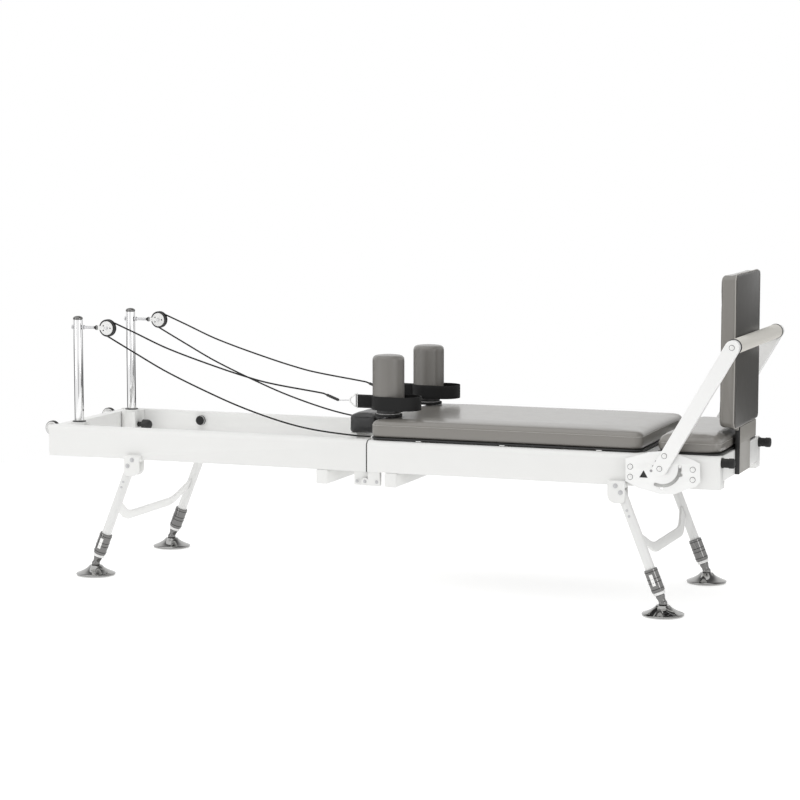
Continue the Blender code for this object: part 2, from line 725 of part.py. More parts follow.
def leg_bracket(end, side):
    """The leg's clevis under a rail: a web, two plates and the hinge pin."""
    back = end * (LEG_HINGE_X - BRACKET_BACK)
    front = end * (LEG_HINGE_X + BRACKET_FRONT)
    inner = LEG_Y - LEG_RADIUS - RUN - BRACKET_PLATE
    outer = LEG_Y + LEG_RADIUS + RUN + BRACKET_PLATE
    web_bottom = LEG_HINGE_Z + LEG_RADIUS + BRACKET_CLEARANCE
    low = LEG_HINGE_Z - BRACKET_BELOW
    top = FRAME_HEIGHT + BRACKET_ABOVE
    web_top = FRAME_HEIGHT + SINK
    under_start = (back, side * (inner + SEAT), web_bottom)
    beside_start = (back, side * (RAIL_OUTER_Y - 2 * SINK), web_bottom)
    shapes = [
        block(under_start, (front, side * (RAIL_OUTER_Y - SINK), web_top)),
        block(beside_start, (front, side * (outer - SEAT), top)),
    ]
    for start, stop, height in (
        (inner, inner + BRACKET_PLATE, web_top - SEAT),
        (outer - BRACKET_PLATE, outer, top - SEAT),
    ):
        outline = [(front + end * JOG, height), (back - end * JOG, height)]
        outline += foot_round(back - end * JOG, low, end * BRACKET_BACK_ROUND)
        outline += foot_round(front + end * JOG, low, -end * BRACKET_FRONT_ROUND)[::-1]
        shapes.append(prism(outline, "XZ", side * start, side * stop))
    pin_start = (end * LEG_HINGE_X, side * (inner + SEAT), LEG_HINGE_Z)
    pin_end = (end * LEG_HINGE_X, side * (outer - SEAT), LEG_HINGE_Z)
    shapes.append(rod(pin_start, pin_end, LEG_PIN_RADIUS, PIN_ROUND))
    return shapes


def fold_leaf(end, side):
    """The fold hinge's leaf under a rail: two plates and a pin on the foot half, one on the other half."""
    pivot = (FOLD_PIVOT_X, FOLD_PIVOT_Z)
    low = FOLD_PIVOT_Z - FOLD_KNUCKLE_RADIUS
    high = FRAME_HEIGHT + SINK / 2
    far_x = FOOT_LEAF_END_X if end > 0 else PULLEY_LEAF_END_X
    near_x = end * RUN
    reach = near_x - FOLD_PIVOT_X
    angle = math.degrees(math.acos(reach / FOLD_KNUCKLE_RADIUS))
    last = 270.0 if end > 0 else -90.0
    outline = [(far_x, low), (far_x, high), (near_x, high)]
    outline += arc(pivot, FOLD_KNUCKLE_RADIUS, angle, last, 10)
    outer = RAIL_OUTER_Y - FOLD_LEAF_INSET
    pitch = FOLD_LEAF_THICKNESS + RUN
    starts = (outer, outer - 2 * pitch) if end > 0 else (outer - pitch,)
    shapes = [prism(outline, "XZ", side * start, side * (start - FOLD_LEAF_THICKNESS)) for start in starts]
    if end > 0:
        pin_inner = outer - 2 * pitch - FOLD_LEAF_THICKNESS + SEAT
        pin_start = (FOLD_PIVOT_X, side * (outer - SEAT), FOLD_PIVOT_Z)
        pin_end = (FOLD_PIVOT_X, side * pin_inner, FOLD_PIVOT_Z)
        shapes.append(rod(pin_start, pin_end, FOLD_PIN_RADIUS, PIN_ROUND))
    return shapes


def post_socket(side):
    """The white block that holds a post, its round flange, and the stop buffer further along the rail."""
    half = SOCKET_LENGTH / 2
    bottom = POST_BASE - SOCKET_HEIGHT
    corner = (POST_X - half, side * (POST_Y - SOCKET_WALL), bottom)
    wall = block(corner, (POST_X + half, side * (RAIL_INNER_Y + SINK), POST_BASE))
    flange_top = POST_BASE + FLANGE_HEIGHT
    flange_base = (POST_X, side * POST_Y, POST_BASE - FIT)
    flange = rod(flange_base, (POST_X, side * POST_Y, flange_top), FLANGE_RADIUS, FINE_ROUND)
    buffer_z = RAIL_TOP - BUFFER_DROP
    buffer = rod(
        (BUFFER_X, side * (RAIL_INNER_Y + SINK), buffer_z),
        (BUFFER_X, side * (RAIL_INNER_Y - BUFFER_THICKNESS), buffer_z),
        BUFFER_RADIUS,
    )
    return [wall, flange, buffer]


def post_socket_bores(side):
    """The upright bore for a post, and the bore for its clamp knob's stem."""
    bottom = POST_BASE - SOCKET_HEIGHT
    upright = rod(
        (POST_X, side * POST_Y, bottom - OVERSHOOT),
        (POST_X, side * POST_Y, POST_BASE + FLANGE_HEIGHT + OVERSHOOT),
        POST_RADIUS + FIT,
        ROUND,
    )
    knob_z = POST_BASE - KNOB_DROP
    stem = rod(
        (POST_X + POST_RADIUS / 2, side * POST_Y, knob_z),
        (POST_X + SOCKET_LENGTH / 2 + OVERSHOOT, side * POST_Y, knob_z),
        KNOB_STEM_RADIUS + FIT,
        PIN_ROUND,
    )
    return [upright, stem]


def build_rails(frames):
    """Four rails, one for each half and side, with the fittings that are welded or moulded on them."""
    for end_name, end in ENDS:
        for side_name, side in SIDES:
            joins = leg_bracket(end, side) + fold_leaf(end, side)
            cuts = []
            if end < 0:
                joins += post_socket(side)
                cuts += post_socket_bores(side)
                leaf_y = RAIL_OUTER_Y - FOLD_LEAF_INSET
                bore_start = (FOLD_PIVOT_X, side * leaf_y, FOLD_PIVOT_Z)
                bore_end = (FOLD_PIVOT_X, side * (leaf_y - 3 * FOLD_LEAF_THICKNESS), FOLD_PIVOT_Z)
                cuts.append(rod(bore_start, bore_end, FOLD_PIN_RADIUS + FIT, PIN_ROUND))
            bar = prism(rail_section(side), "YZ", end * FIT / 2, end * RAIL_LENGTH)
            piece(f"{end_name}_rail_{side_name}", frames[end], WHITE_PAINT, bar, joins, cuts)


def wheel_brackets():
    """Two plates and an axle for each transport wheel, outside the pulley end beam."""
    shapes = []
    inner_x = -RAIL_LENGTH + SINK
    outer_x = WHEEL_X - WHEEL_PLATE_REACH
    for _, side in SIDES:
        for way in (-1, 1):
            near = side * WHEEL_Y + way * (WHEEL_WIDTH / 2 + RUN)
            away = near + way * WHEEL_PLATE
            low = WHEEL_Z - WHEEL_PLATE_HEIGHT / 2
            shapes.append(block((inner_x, near, low), (outer_x, away, low + WHEEL_PLATE_HEIGHT)))
        reach = WHEEL_WIDTH / 2 + RUN + WHEEL_PLATE / 2
        start = (WHEEL_X, side * WHEEL_Y - reach, WHEEL_Z)
        shapes.append(rod(start, (WHEEL_X, side * WHEEL_Y + reach, WHEEL_Z), WHEEL_AXLE_RADIUS, PIN_ROUND))
    return shapes


def build_cross_members(frames):
    """End beams between the rails, and one cross tube under each half."""
    low = TRACK_TOP + FIT
    inner = RAIL_LENGTH - END_BEAM_LENGTH
    half_width = BEAM_HALF_WIDTH
    beam = block((-RAIL_LENGTH, -half_width, low), (-inner, half_width, BEAM_TOP), BEAM_EDGE, 1)
    piece("pulley_end_beam", frames[-1], WHITE_PAINT, beam, wheel_brackets())
    beam = block((inner, -half_width, low), (RAIL_LENGTH, half_width, BEAM_TOP), BEAM_EDGE, 1)
    guide_low = GUIDE_TOP - GUIDE_HEIGHT
    neck_start = (RAIL_LENGTH - SINK, -GUIDE_NECK_HALF, guide_low + JOG)
    neck = block(neck_start, (GUIDE_NECK_X + SEAT, GUIDE_NECK_HALF, GUIDE_TOP - JOG))
    head_start = (GUIDE_NECK_X, -GUIDE_HEAD_HALF, guide_low)
    head = block(head_start, (GUIDE_NECK_X + GUIDE_HEAD_DEPTH, GUIDE_HEAD_HALF, GUIDE_TOP))
    piece("foot_end_beam", frames[1], WHITE_PAINT, beam, [neck, head])
    reach = RAIL_OUTER_Y + CROSS_TUBE_OVERHANG
    for end_name, end, x in (("foot", 1, FOOT_CROSS_TUBE_X), ("pulley", -1, PULLEY_CROSS_TUBE_X)):
        half = CROSS_TUBE_WIDTH / 2
        top = FRAME_HEIGHT - FIT
        low = top - CROSS_TUBE_HEIGHT
        tube = block((x - half, -reach, low), (x + half, reach, top), CROSS_TUBE_EDGE)
        piece(f"{end_name}_cross_tube", frames[end], WHITE_PAINT, tube)


def leg_profile():
    """A leg's turned outline: round head on the hinge, tube, collar, ring and the levelling stem's bore."""
    bore = STEM_SHAFT_RADIUS + FIT
    return dome(LEG_RADIUS, 0.0, LEG_RADIUS, 3)[::-1] + [
        (LEG_RADIUS, -LEG_COLLAR_START),
        (LEG_COLLAR_RADIUS, -LEG_COLLAR_START),
        (LEG_COLLAR_RADIUS, -LEG_RING_START),
        (LEG_RING_RADIUS, -LEG_RING_START),
        (LEG_RING_RADIUS, -LEG_END),
        (bore, -LEG_END),
        (bore, -(LEG_END - STEM_SHAFT_LENGTH - FIT)),
        (0.0, -(LEG_END - STEM_SHAFT_LENGTH - FIT)),
    ]


def stem_profile():
    """A levelling stem's turned outline: shaft in the leg, tapered neck and ball."""
    drop = STEM_LENGTH - FIT
    meet = math.degrees(math.acos(STEM_NECK_RADIUS / BALL_RADIUS))
    ball = arc((0.0, -LEG_REACH), BALL_RADIUS, meet, -90.0, 4)
    ball[-1] = (0.0, -LEG_REACH - BALL_RADIUS)
    return [
        (0.0, -(LEG_END - STEM_SHAFT_LENGTH)),
        (STEM_SHAFT_RADIUS, -(LEG_END - STEM_SHAFT_LENGTH)),
        (STEM_SHAFT_RADIUS, -(LEG_REACH - drop)),
        (STEM_TOP_RADIUS, -(LEG_REACH - drop)),
        (STEM_TOP_RADIUS, -(LEG_REACH - drop * 0.85)),
        (STEM_NECK_RADIUS, -(LEG_REACH - drop * 0.45)),
    ] + ball


def disc_profile():
    """A foot disc's turned outline from its flat sole to the cup that the ball sits in."""
    cup_radius = BALL_RADIUS + RUN
    rise = BALL_Z - DISC_TOP_HEIGHT
    rim = math.sqrt(cup_radius**2 - rise**2)
    first = -math.degrees(math.asin(rise / cup_radius))
    cup = arc((0.0, BALL_Z), cup_radius, first, -90.0, 3)
    cup[0] = (rim, DISC_TOP_HEIGHT)
    cup[-1] = (0.0, BALL_Z - cup_radius)
    bell_radius = (DISC_SHOULDER_RADIUS + DISC_TOP_RADIUS) / 2
    bell_height = (DISC_SHOULDER_HEIGHT + DISC_TOP_HEIGHT) / 2
    return [
        (0.0, 0.0),
        (DISC_RADIUS, 0.0),
        (DISC_RADIUS, DISC_RIM_HEIGHT - DISC_RIM_EDGE),
        (DISC_RADIUS - DISC_RIM_EDGE, DISC_RIM_HEIGHT),
        (DISC_SHOULDER_RADIUS, DISC_RIM_HEIGHT + SEAT),
        (DISC_SHOULDER_RADIUS - DISC_RIM_EDGE, DISC_SHOULDER_HEIGHT),
        (bell_radius + DISC_BULGE, bell_height + DISC_BULGE),
        (DISC_TOP_RADIUS, DISC_TOP_HEIGHT),
    ] + cup


def brace_outline():
    """A brace's outline in its legs' plane: raised ends, a bend on each side and a straight middle."""
    half = BRACE_HEIGHT / 2
    low = BRACE_DROP
    high = BRACE_END_DROP
    slope = math.atan2(low - high, BRACE_HALF_LENGTH - BRACE_BEND_Y)
    shift = half * math.tan(slope / 2)
    rise = half / math.cos(slope)
    upper = [(BRACE_HALF_LENGTH, -high + rise), (BRACE_BEND_Y - shift, -low + half)]
    lower = [(BRACE_BEND_Y + shift, -low - half), (BRACE_HALF_LENGTH, -high - rise)]
    right = upper + [(-y, z) for y, z in reversed(upper)]
    return right + [(-y, z) for y, z in reversed(lower)] + lower


def build_legs(frames):
    """A folding pair of legs under each half: two tubes, the brace between them, and levelling feet."""
    for end_name, end in ENDS:
        hinge = (end * LEG_HINGE_X, 0.0, LEG_HINGE_Z)
        legs = body(f"{end_name}_end_legs", hinge, frames[end])
        tilt = -end * LEG_TILT
        brace = prism(brace_outline(), "YZ", -BRACE_THICKNESS / 2, BRACE_THICKNESS / 2)
        brace_name = f"{end_name}_end_leg_brace"
        piece(brace_name, legs, WHITE_PAINT, brace, origin=(0, 0, 0), place=hinge, tilt=tilt)
        for side_name, side in SIDES:
            top = (end * LEG_HINGE_X, side * LEG_Y, LEG_HINGE_Z)
            ball = (end * FOOT_X, side * LEG_Y, BALL_Z)
            bore_y = LEG_RADIUS + OVERSHOOT
            bore = rod((0, -bore_y, 0), (0, bore_y, 0), LEG_PIN_RADIUS + FIT, PIN_ROUND)
            tube = turned(leg_profile())
            name = f"{end_name}_end_leg_{side_name}"
            piece(name, legs, WHITE_PAINT, tube, cuts=[bore], origin=(0, 0, 0), place=top, tilt=tilt)
            stem_body = body(f"{name}_stem_slide", ball, legs)
            stem = turned(stem_profile(), sides=PIN_ROUND)
            stem_name = f"{end_name}_end_stem_{side_name}"
            foot = (0, 0, -LEG_REACH)
            piece(stem_name, stem_body, DARK_CHROME, stem, origin=foot, place=ball, tilt=tilt)
            disc_body = body(f"{name}_disc_swivel", ball, stem_body)
            disc = turned(disc_profile(), centre=(ball[0], ball[1], 0.0), sides=FINE_ROUND)
            piece(f"{end_name}_end_disc_{side_name}", disc_body, CHROME, disc)


def build_posts(frame):
    """Two height-adjustable posts, each with its clamp knob and a swivelling pulley."""
    for side_name, side in SIDES:
        y = side * POST_Y
        post_body = body(f"post_{side_name}_height", (POST_X, y, POST_BASE), frame)
        top = POST_BASE + POST_HEIGHT
        cap_low = top - POST_CAP_LENGTH
        post_low = POST_BASE - POST_SUNK_LENGTH
        profile = [(0.0, post_low), (POST_RADIUS, post_low)]
        profile += [(POST_RADIUS, cap_low), (POST_CAP_RADIUS, cap_low)]
        profile += dome(POST_CAP_RADIUS, top - POST_CAP_DOME, POST_CAP_DOME, 3)
        tube = turned(profile, centre=(POST_X, y, 0.0))
        swivel_x = BLOCK_BACK_X - SWIVEL_RADIUS + SWIVEL_SINK
        tail = POST_X - ROD_TAIL
        stay_end = swivel_x - SWIVEL_RADIUS - FIT
        stay = rod((tail, y, PULLEY_Z), (stay_end, y, PULLEY_Z), ROD_RADIUS, PIN_ROUND)
        nut_end = tail + SEAT + ROD_NUT_LENGTH
        nut = rod((tail + SEAT, y, PULLEY_Z), (nut_end, y, PULLEY_Z), ROD_NUT_RADIUS, NUT_SIDES)
        holes = []
        for z in (POST_BASE - KNOB_DROP, POST_BASE + POST_HOLE_RISE):
            mouth = POST_X + POST_RADIUS
            floor = (mouth - POST_HOLE_DEPTH, y, z)
            holes.append(rod(floor, (mouth + OVERSHOOT, y, z), POST_HOLE_RADIUS, PIN_ROUND))
        piece(f"post_{side_name}", post_body, CHROME, tube, [stay, nut], holes)
        build_knob(side_name, y, frame)
        build_pulley(side_name, y, swivel_x, post_body)


def build_knob(side_name, y, frame):
    """The domed knob that clamps a post, on its screw stem."""
    z = POST_BASE - KNOB_DROP
    tip = POST_X + POST_RADIUS + FIT
    wall = POST_X + SOCKET_LENGTH / 2 + FIT
    base = POST_X + SOCKET_LENGTH / 2 + KNOB_STANDOFF
    end = base + KNOB_LENGTH
    profile = [(0.0, tip), (KNOB_STEM_RADIUS, tip), (KNOB_STEM_RADIUS, wall), (KNOB_COLLAR_RADIUS, wall)]
    profile += [(KNOB_COLLAR_RADIUS, base), (KNOB_RADIUS - KNOB_EDGE, base)]
    profile.append((KNOB_RADIUS, base + KNOB_EDGE))
    profile += dome(KNOB_RADIUS, end - KNOB_RADIUS, KNOB_RADIUS, 4)
    knob_body = body(f"post_{side_name}_knob_turn", (POST_X, y, z), frame)
    piece(f"post_knob_{side_name}", knob_body, BLACK_PLASTIC, turned(profile, "X", (0.0, y, z)))


def build_pulley(side_name, y, swivel_x, post_body):
    """A pulley block on its swivel, and the sheave that turns between its cheeks."""
    centre = (PULLEY_X, PULLEY_Z)
    block_body = body(f"pulley_{side_name}_swivel", (swivel_x, y, PULLEY_Z), post_body)
    inner = SHEAVE_WIDTH / 2 + RUN
    outer = inner + CHEEK_THICKNESS
    half = CHEEK_TAB_HEIGHT / 2
    angle = math.degrees(math.asin(half / CHEEK_RADIUS))
    outline = arc(centre, CHEEK_RADIUS, angle - 180.0, 180.0 - angle, 10)
    outline += [(BLOCK_BACK_X, PULLEY_Z + half), (BLOCK_BACK_X, PULLEY_Z - half)]
    cheeks = [prism(outline, "XZ", y + way * inner, y + way * outer) for way in (-1, 1)]
    bridge = block(
        (BLOCK_BACK_X + JOG, y - outer + JOG, PULLEY_Z - half + JOG),
        (BLOCK_BACK_X + BLOCK_BRIDGE, y + outer - JOG, PULLEY_Z + half - JOG),
    )
    axle_reach = inner + SEAT
    axle_end = (PULLEY_X, y + axle_reach, PULLEY_Z)
    axle = rod((PULLEY_X, y - axle_reach, PULLEY_Z), axle_end, SHEAVE_AXLE_RADIUS, PIN_ROUND)
    swivel = arc((0.0, 0.0), SWIVEL_RADIUS, -90.0, 90.0, 6)
    swivel[0] = (0.0, -SWIVEL_RADIUS)
    swivel[-1] = (0.0, SWIVEL_RADIUS)
    ball = turned(swivel, "X", (swivel_x, y, PULLEY_Z), 8)
    joins = [cheeks[1], bridge, axle, ball]
    piece(f"pulley_block_{side_name}", block_body, WHITE_PLASTIC, cheeks[0], joins)
    width = SHEAVE_WIDTH / 2
    lip = width - SHEAVE_LIP
    floor = GROOVE_FLOOR / 2
    groove = SHEAVE_GROOVE_RADIUS
    profile = [(SHEAVE_BORE_RADIUS, -width), (SHEAVE_RADIUS, -width), (SHEAVE_RADIUS, -lip)]
    profile += [(groove + GROOVE_ROUND, -floor), (groove, 0.0), (groove + GROOVE_ROUND, floor)]
    profile += [(SHEAVE_RADIUS, lip), (SHEAVE_RADIUS, width), (SHEAVE_BORE_RADIUS, width)]
    profile.append(profile[0])
    place = (PULLEY_X, y, PULLEY_Z)
    sheave_body = body(f"sheave_{side_name}_spin", place, block_body)
    sheave = turned(profile, "Y", place)
    piece(f"pulley_sheave_{side_name}", sheave_body, BLACK_PLASTIC, sheave)


def wheel_profile(radius, width, bore):
    """A wheel's turned outline: bore, flat faces and a tread with worked-off edges."""
    half = width / 2
    edge = WHEEL_EDGE
    profile = [(bore, -half), (radius - edge, -half), (radius, edge - half)]
    profile += [(radius, half - edge), (radius - edge, half), (bore, half), (bore, -half)]
    return profile


def build_transport_wheels(frame):
    """Two wheels outside the pulley end, on which the folded reformer rolls."""
    for side_name, side in SIDES:
        centre = (WHEEL_X, side * WHEEL_Y, WHEEL_Z)
        wheel_body = body(f"transport_wheel_{side_name}_spin", centre, frame)
        profile = wheel_profile(WHEEL_RADIUS, WHEEL_WIDTH, WHEEL_AXLE_RADIUS + FIT)
        piece(f"transport_wheel_{side_name}", wheel_body, WHITE_PLASTIC, turned(profile, "Y", centre))


def build_foot_end(frame):
    """The fixed pad, the spring bar and the end bumpers of the foot half."""
    pad = cushion(
        FIXED_PAD_LENGTH,
        FIXED_PAD_WIDTH,
        FIXED_PAD_HEIGHT,
        PAD_CORNER_RADIUS,
        PAD_EDGE_RADIUS,
        PAD_CROWN,
        PAD_SIDE_DRAW,
        (4, 7, 3),
    )
    centre = (FIXED_PAD_START_X + FIXED_PAD_LENGTH / 2, 0.0, FIXED_PAD_BOTTOM)
    piece("fixed_pad", frame, GREY_VINYL, pad, origin=(0, 0, 0), place=centre)
    half = SPRING_BAR_WIDTH / 2
    low = TRACK_TOP + SPRING_BAR_RISE
    bar = block(
        (SPRING_BAR_X - half, -BEAM_HALF_WIDTH, low),
        (SPRING_BAR_X + half, BEAM_HALF_WIDTH, low + SPRING_BAR_HEIGHT),
        SPRING_BAR_EDGE,
        1,
    )
    piece("spring_bar", frame, STEEL, bar)
    start = RAIL_LENGTH + FIT
    for side_name, side in SIDES:
        y = side * (RAIL_OUTER_Y + RAIL_INNER_Y) / 2
        end = start + BUMPER_LENGTH
        edge_centre = (end - BUMPER_EDGE, BUMPER_RADIUS - BUMPER_EDGE)
        profile = [(0.0, start), (BUMPER_RADIUS, start)]
        profile += [(radius, along) for along, radius in arc(edge_centre, BUMPER_EDGE, 90.0, 0.0, 2)]
        profile.append((0.0, end))
        bumper = turned(profile, "X", (0.0, y, RAIL_TOP - BUMPER_DROP))
        piece(f"end_bumper_{side_name}", frame, BLACK_RUBBER, bumper)


def chassis_shapes():
    """The carriage frame's cross bars, pad supports, axles, rope cleats and shoulder rest sockets."""
    shapes = []
    step = CHASSIS_STEP
    low = CHASSIS_BOTTOM + step
    high = CHASSIS_TOP - step
    reach = CHASSIS_OUTER_Y - step
    front_bar_x = CHASSIS_FRONT_X + JOG
    back_bar_x = CHASSIS_BACK_X - CHASSIS_BAR - JOG
    for x in (front_bar_x, HEADREST_BAR_X, back_bar_x):
        shapes.append(block((x, -reach, low), (x + CHASSIS_BAR, reach, high)))
    ledge = HEADREST_WIDTH / 2 - 2 * step
    for x in (front_bar_x + JOG, HEADREST_BAR_X + JOG):
        shapes.append(block((x, -ledge, low + step), (x + CHASSIS_BAR - 2 * JOG, ledge, SUPPORT_TOP)))
    half = SUPPORT_WIDTH / 2
    tab_low = SUPPORT_TOP - SUPPORT_THICKNESS
    tab_reach = CARRIAGE_PAD_WIDTH / 2 - SUPPORT_INSET_Y
    for x in SUPPORT_PLACES:
        tab = half - JOG
        shapes.append(block((x - half, -reach, low + JOG), (x + half, reach, SUPPORT_TOP - SEAT)))
        shapes.append(block((x - tab, -tab_reach, tab_low), (x + tab, tab_reach, SUPPORT_TOP)))
    for _, side in SIDES:
        for x in CARRIAGE_WHEEL_PLACES:
            root = (x, side * (CHASSIS_OUTER_Y - SINK), CARRIAGE_WHEEL_Z)
            tip = (x, side * (CARRIAGE_WHEEL_Y + CARRIAGE_WHEEL_WIDTH / 2 - SEAT), CARRIAGE_WHEEL_Z)
            boss = (x, side * (CARRIAGE_WHEEL_Y - CARRIAGE_WHEEL_WIDTH / 2 - RUN), CARRIAGE_WHEEL_Z)
            shapes.append(rod(root, tip, CARRIAGE_AXLE_RADIUS, PIN_ROUND))
            shapes.append(rod(root, boss, CARRIAGE_BOSS_RADIUS, 8))
        cleat = (CLEAT_X, side * POST_Y - CLEAT_HALF_WIDTH, CHASSIS_TOP - CLEAT_DEPTH)
        cleat_end = (CLEAT_X + CLEAT_LENGTH, side * POST_Y + CLEAT_HALF_WIDTH, SUPPORT_TOP)
        shapes.append(block(cleat, cleat_end))
        half_socket = REST_SOCKET_HALF
        corner = (REST_X - half_socket, side * REST_Y - half_socket, low + 2 * step)
        opposite = (REST_X + half_socket, side * REST_Y + half_socket, SUPPORT_TOP - JOG)
        shapes.append(block(corner, opposite))
    return shapes


def build_carriage(frame):
    """The rolling carriage: its frame, wheels, pad, headrest, shoulder rests and straps."""
    carriage = body("carriage", (CARRIAGE_HEAD_X, 0.0, PAD_BOTTOM), frame)
    middle_y = (CHASSIS_OUTER_Y + CHASSIS_INNER_Y) / 2
    bars = []
    for _, side in SIDES:
        inner = side * (middle_y - CHASSIS_BAR / 2)
        outer = side * (middle_y + CHASSIS_BAR / 2)
        bars.append(block((CHASSIS_FRONT_X, inner, CHASSIS_BOTTOM), (CHASSIS_BACK_X, outer, CHASSIS_TOP)))
    bores = []
    for _, side in SIDES:
        low = (REST_X, side * REST_Y, CHASSIS_BOTTOM - OVERSHOOT)
        bores.append(rod(low, (REST_X, side * REST_Y, PAD_TOP), REST_PIN_RADIUS + FIT))
    piece("carriage_frame", carriage, STEEL, bars[0], [bars[1]] + chassis_shapes(), bores)
    for side_name, side in SIDES:
        for number, x in enumerate(CARRIAGE_WHEEL_PLACES, start=1):
            centre = (x, side * CARRIAGE_WHEEL_Y, CARRIAGE_WHEEL_Z)
            wheel_body = body(f"carriage_wheel_{side_name}_{number}_spin", centre, carriage)
            bore = CARRIAGE_AXLE_RADIUS + FIT
            wheel = turned(wheel_profile(CARRIAGE_WHEEL_RADIUS, CARRIAGE_WHEEL_WIDTH, bore), "Y", centre)
            piece(f"carriage_wheel_{side_name}_{number}", wheel_body, BLACK_PLASTIC, wheel)
    build_carriage_pad(carriage)
    build_headrest(carriage)
    for side_name, side in SIDES:
        build_shoulder_rest(side_name, side, carriage)
        build_strap(side_name, side, carriage)


def build_carriage_pad(carriage):
    """The long pad, with a hole for each shoulder rest's pin."""
    pad = cushion(
        CARRIAGE_PAD_LENGTH,
        CARRIAGE_PAD_WIDTH,
        CARRIAGE_PAD_HEIGHT,
        PAD_CORNER_RADIUS,
        PAD_EDGE_RADIUS,
        PAD_CROWN,
        PAD_SIDE_DRAW,
        (8, 5, 3),
    )
    middle = (CARRIAGE_HEAD_X + CARRIAGE_FOOT_X) / 2
    pad = moved(pad, Matrix.Translation((middle, 0.0, PAD_BOTTOM)))
    bores = []
    for _, side in SIDES:
        low = (REST_X, side * REST_Y, PAD_BOTTOM - OVERSHOOT)
        bores.append(rod(low, (REST_X, side * REST_Y, PAD_TOP + OVERSHOOT), REST_PIN_RADIUS + RUN))
    piece("carriage_pad", carriage, GREY_VINYL, pad, cuts=bores)


def build_headrest(carriage):
    """The headrest: a small pad that tips up about its lower right edge, its right face leaning clear."""
    pad = cushion(
        HEADREST_LENGTH,
        HEADREST_WIDTH,
        HEADREST_HEIGHT,
        HEADREST_CORNER,
        PAD_EDGE_RADIUS,
        PAD_CROWN,
        PAD_SIDE_DRAW,
        (3, 5, 3),
    )
    half = HEADREST_LENGTH / 2
    for vertex in pad.verts:
        share = max(0.0, vertex.co.x / half)
        vertex.co.x -= HEADREST_LEAN * share * vertex.co.z / HEADREST_HEIGHT
    hinge = (CARRIAGE_HEAD_X - HEADREST_GAP, 0.0, PAD_BOTTOM)
    headrest_body = body("headrest", hinge, carriage)
    piece("headrest_pad", headrest_body, BLACK_VINYL, pad, origin=(half, 0, 0), place=hinge)


def build_shoulder_rest(side_name, side, carriage):
    """A round shoulder rest on its foot and base plate, with the pin that drops into the carriage."""
    top = REST_BASE + REST_FOOT_HEIGHT + REST_HEIGHT
    foot_top = REST_BASE + REST_FOOT_HEIGHT
    plate_top = REST_BASE + REST_PLATE_HEIGHT
    pin_low = REST_BASE - REST_PIN_LENGTH
    profile = [(0.0, pin_low), (REST_PIN_RADIUS, pin_low), (REST_PIN_RADIUS, REST_BASE)]
    profile += [(REST_PLATE_RADIUS, REST_BASE), (REST_PLATE_RADIUS, plate_top)]
    profile += [(REST_FOOT_RADIUS, plate_top), (REST_FOOT_RADIUS, foot_top)]
    profile += [(REST_RADIUS - REST_EDGE, foot_top), (REST_RADIUS, foot_top + REST_EDGE)]
    shoulder = top - REST_CROWN - REST_TOP_ROUND
    profile += arc((REST_RADIUS - REST_TOP_ROUND, shoulder), REST_TOP_ROUND, 0.0, 90.0, 3)
    profile.append((0.0, top))
    centre = (REST_X, side * REST_Y, 0.0)
    rest_body = body(f"shoulder_rest_{side_name}_lift", (REST_X, side * REST_Y, REST_BASE), carriage)
    rest = turned(profile, centre=centre, sides=FINE_ROUND)
    piece(f"shoulder_rest_{side_name}", rest_body, GREY_VINYL, rest)


def build_strap(side_name, side, carriage):
    """A webbing loop round a shoulder rest, its doubled tail, and its ring, link and rope clamp."""
    y = side * REST_Y
    top = STRAP_BOTTOM + STRAP_HEIGHT
    far = (REST_X + STRAP_SLACK, y)
    outer_radius = STRAP_INNER_RADIUS + STRAP_THICKNESS
    half_round = FINE_ROUND // 2
    loop_outline = stadium((REST_X, y), far, outer_radius, outer_radius, half_round)
    loop = prism(loop_outline, "XY", STRAP_BOTTOM, top)
    hole_outline = stadium((REST_X, y), far, STRAP_INNER_RADIUS, STRAP_INNER_RADIUS, half_round)
    hole = prism(hole_outline, "XY", STRAP_BOTTOM - OVERSHOOT, top + OVERSHOOT)
    tail_corner = (STRAP_TAIL_END_X, y - STRAP_THICKNESS, STRAP_BOTTOM + JOG)
    tail_start_x = REST_X - STRAP_INNER_RADIUS - STRAP_THICKNESS / 2
    tail = block(tail_corner, (tail_start_x, y + STRAP_THICKNESS, top - JOG))
    ring_x = STRAP_TAIL_END_X + RING_OVERLAP
    half = RING_HEIGHT / 2
    middle = STRAP_MIDDLE
    outer = [(ring_x, middle - half), (ring_x, middle + half)]
    outer += [(RING_TIP_X, middle + RING_TIP_HALF), (RING_TIP_X, middle - RING_TIP_HALF)]
    inner_x = ring_x - RING_BAR
    inner_half = half - RING_BAR - RING_TIP_HALF / 2
    inner = [(inner_x, middle - inner_half), (inner_x, middle + inner_half)]
    inner.append((RING_TIP_X + 2 * RING_BAR, middle))
    ring = prism(outer, "XZ", y - RING_BAR / 2, y + RING_BAR / 2)
    window = prism(inner, "XZ", y - RING_BAR, y + RING_BAR)
    link_start = (RING_TIP_X + RING_BAR, y, middle)
    link = rod(link_start, (LINK_END_X, y, CLAMP_START_Z), LINK_RADIUS, 8)
    clamp_start = (LINK_END_X + SEAT, y, CLAMP_START_Z)
    clamp = rod(clamp_start, (CLAMP_END_X, y, CLAMP_END_Z), CLAMP_RADIUS, PIN_ROUND)
    joins = [loop, tail, link, clamp]
    cuts = [hole, window]
    piece(f"foot_strap_{side_name}", carriage, BLACK_WEBBING, ring, joins, cuts, (REST_X, y, STRAP_BOTTOM))


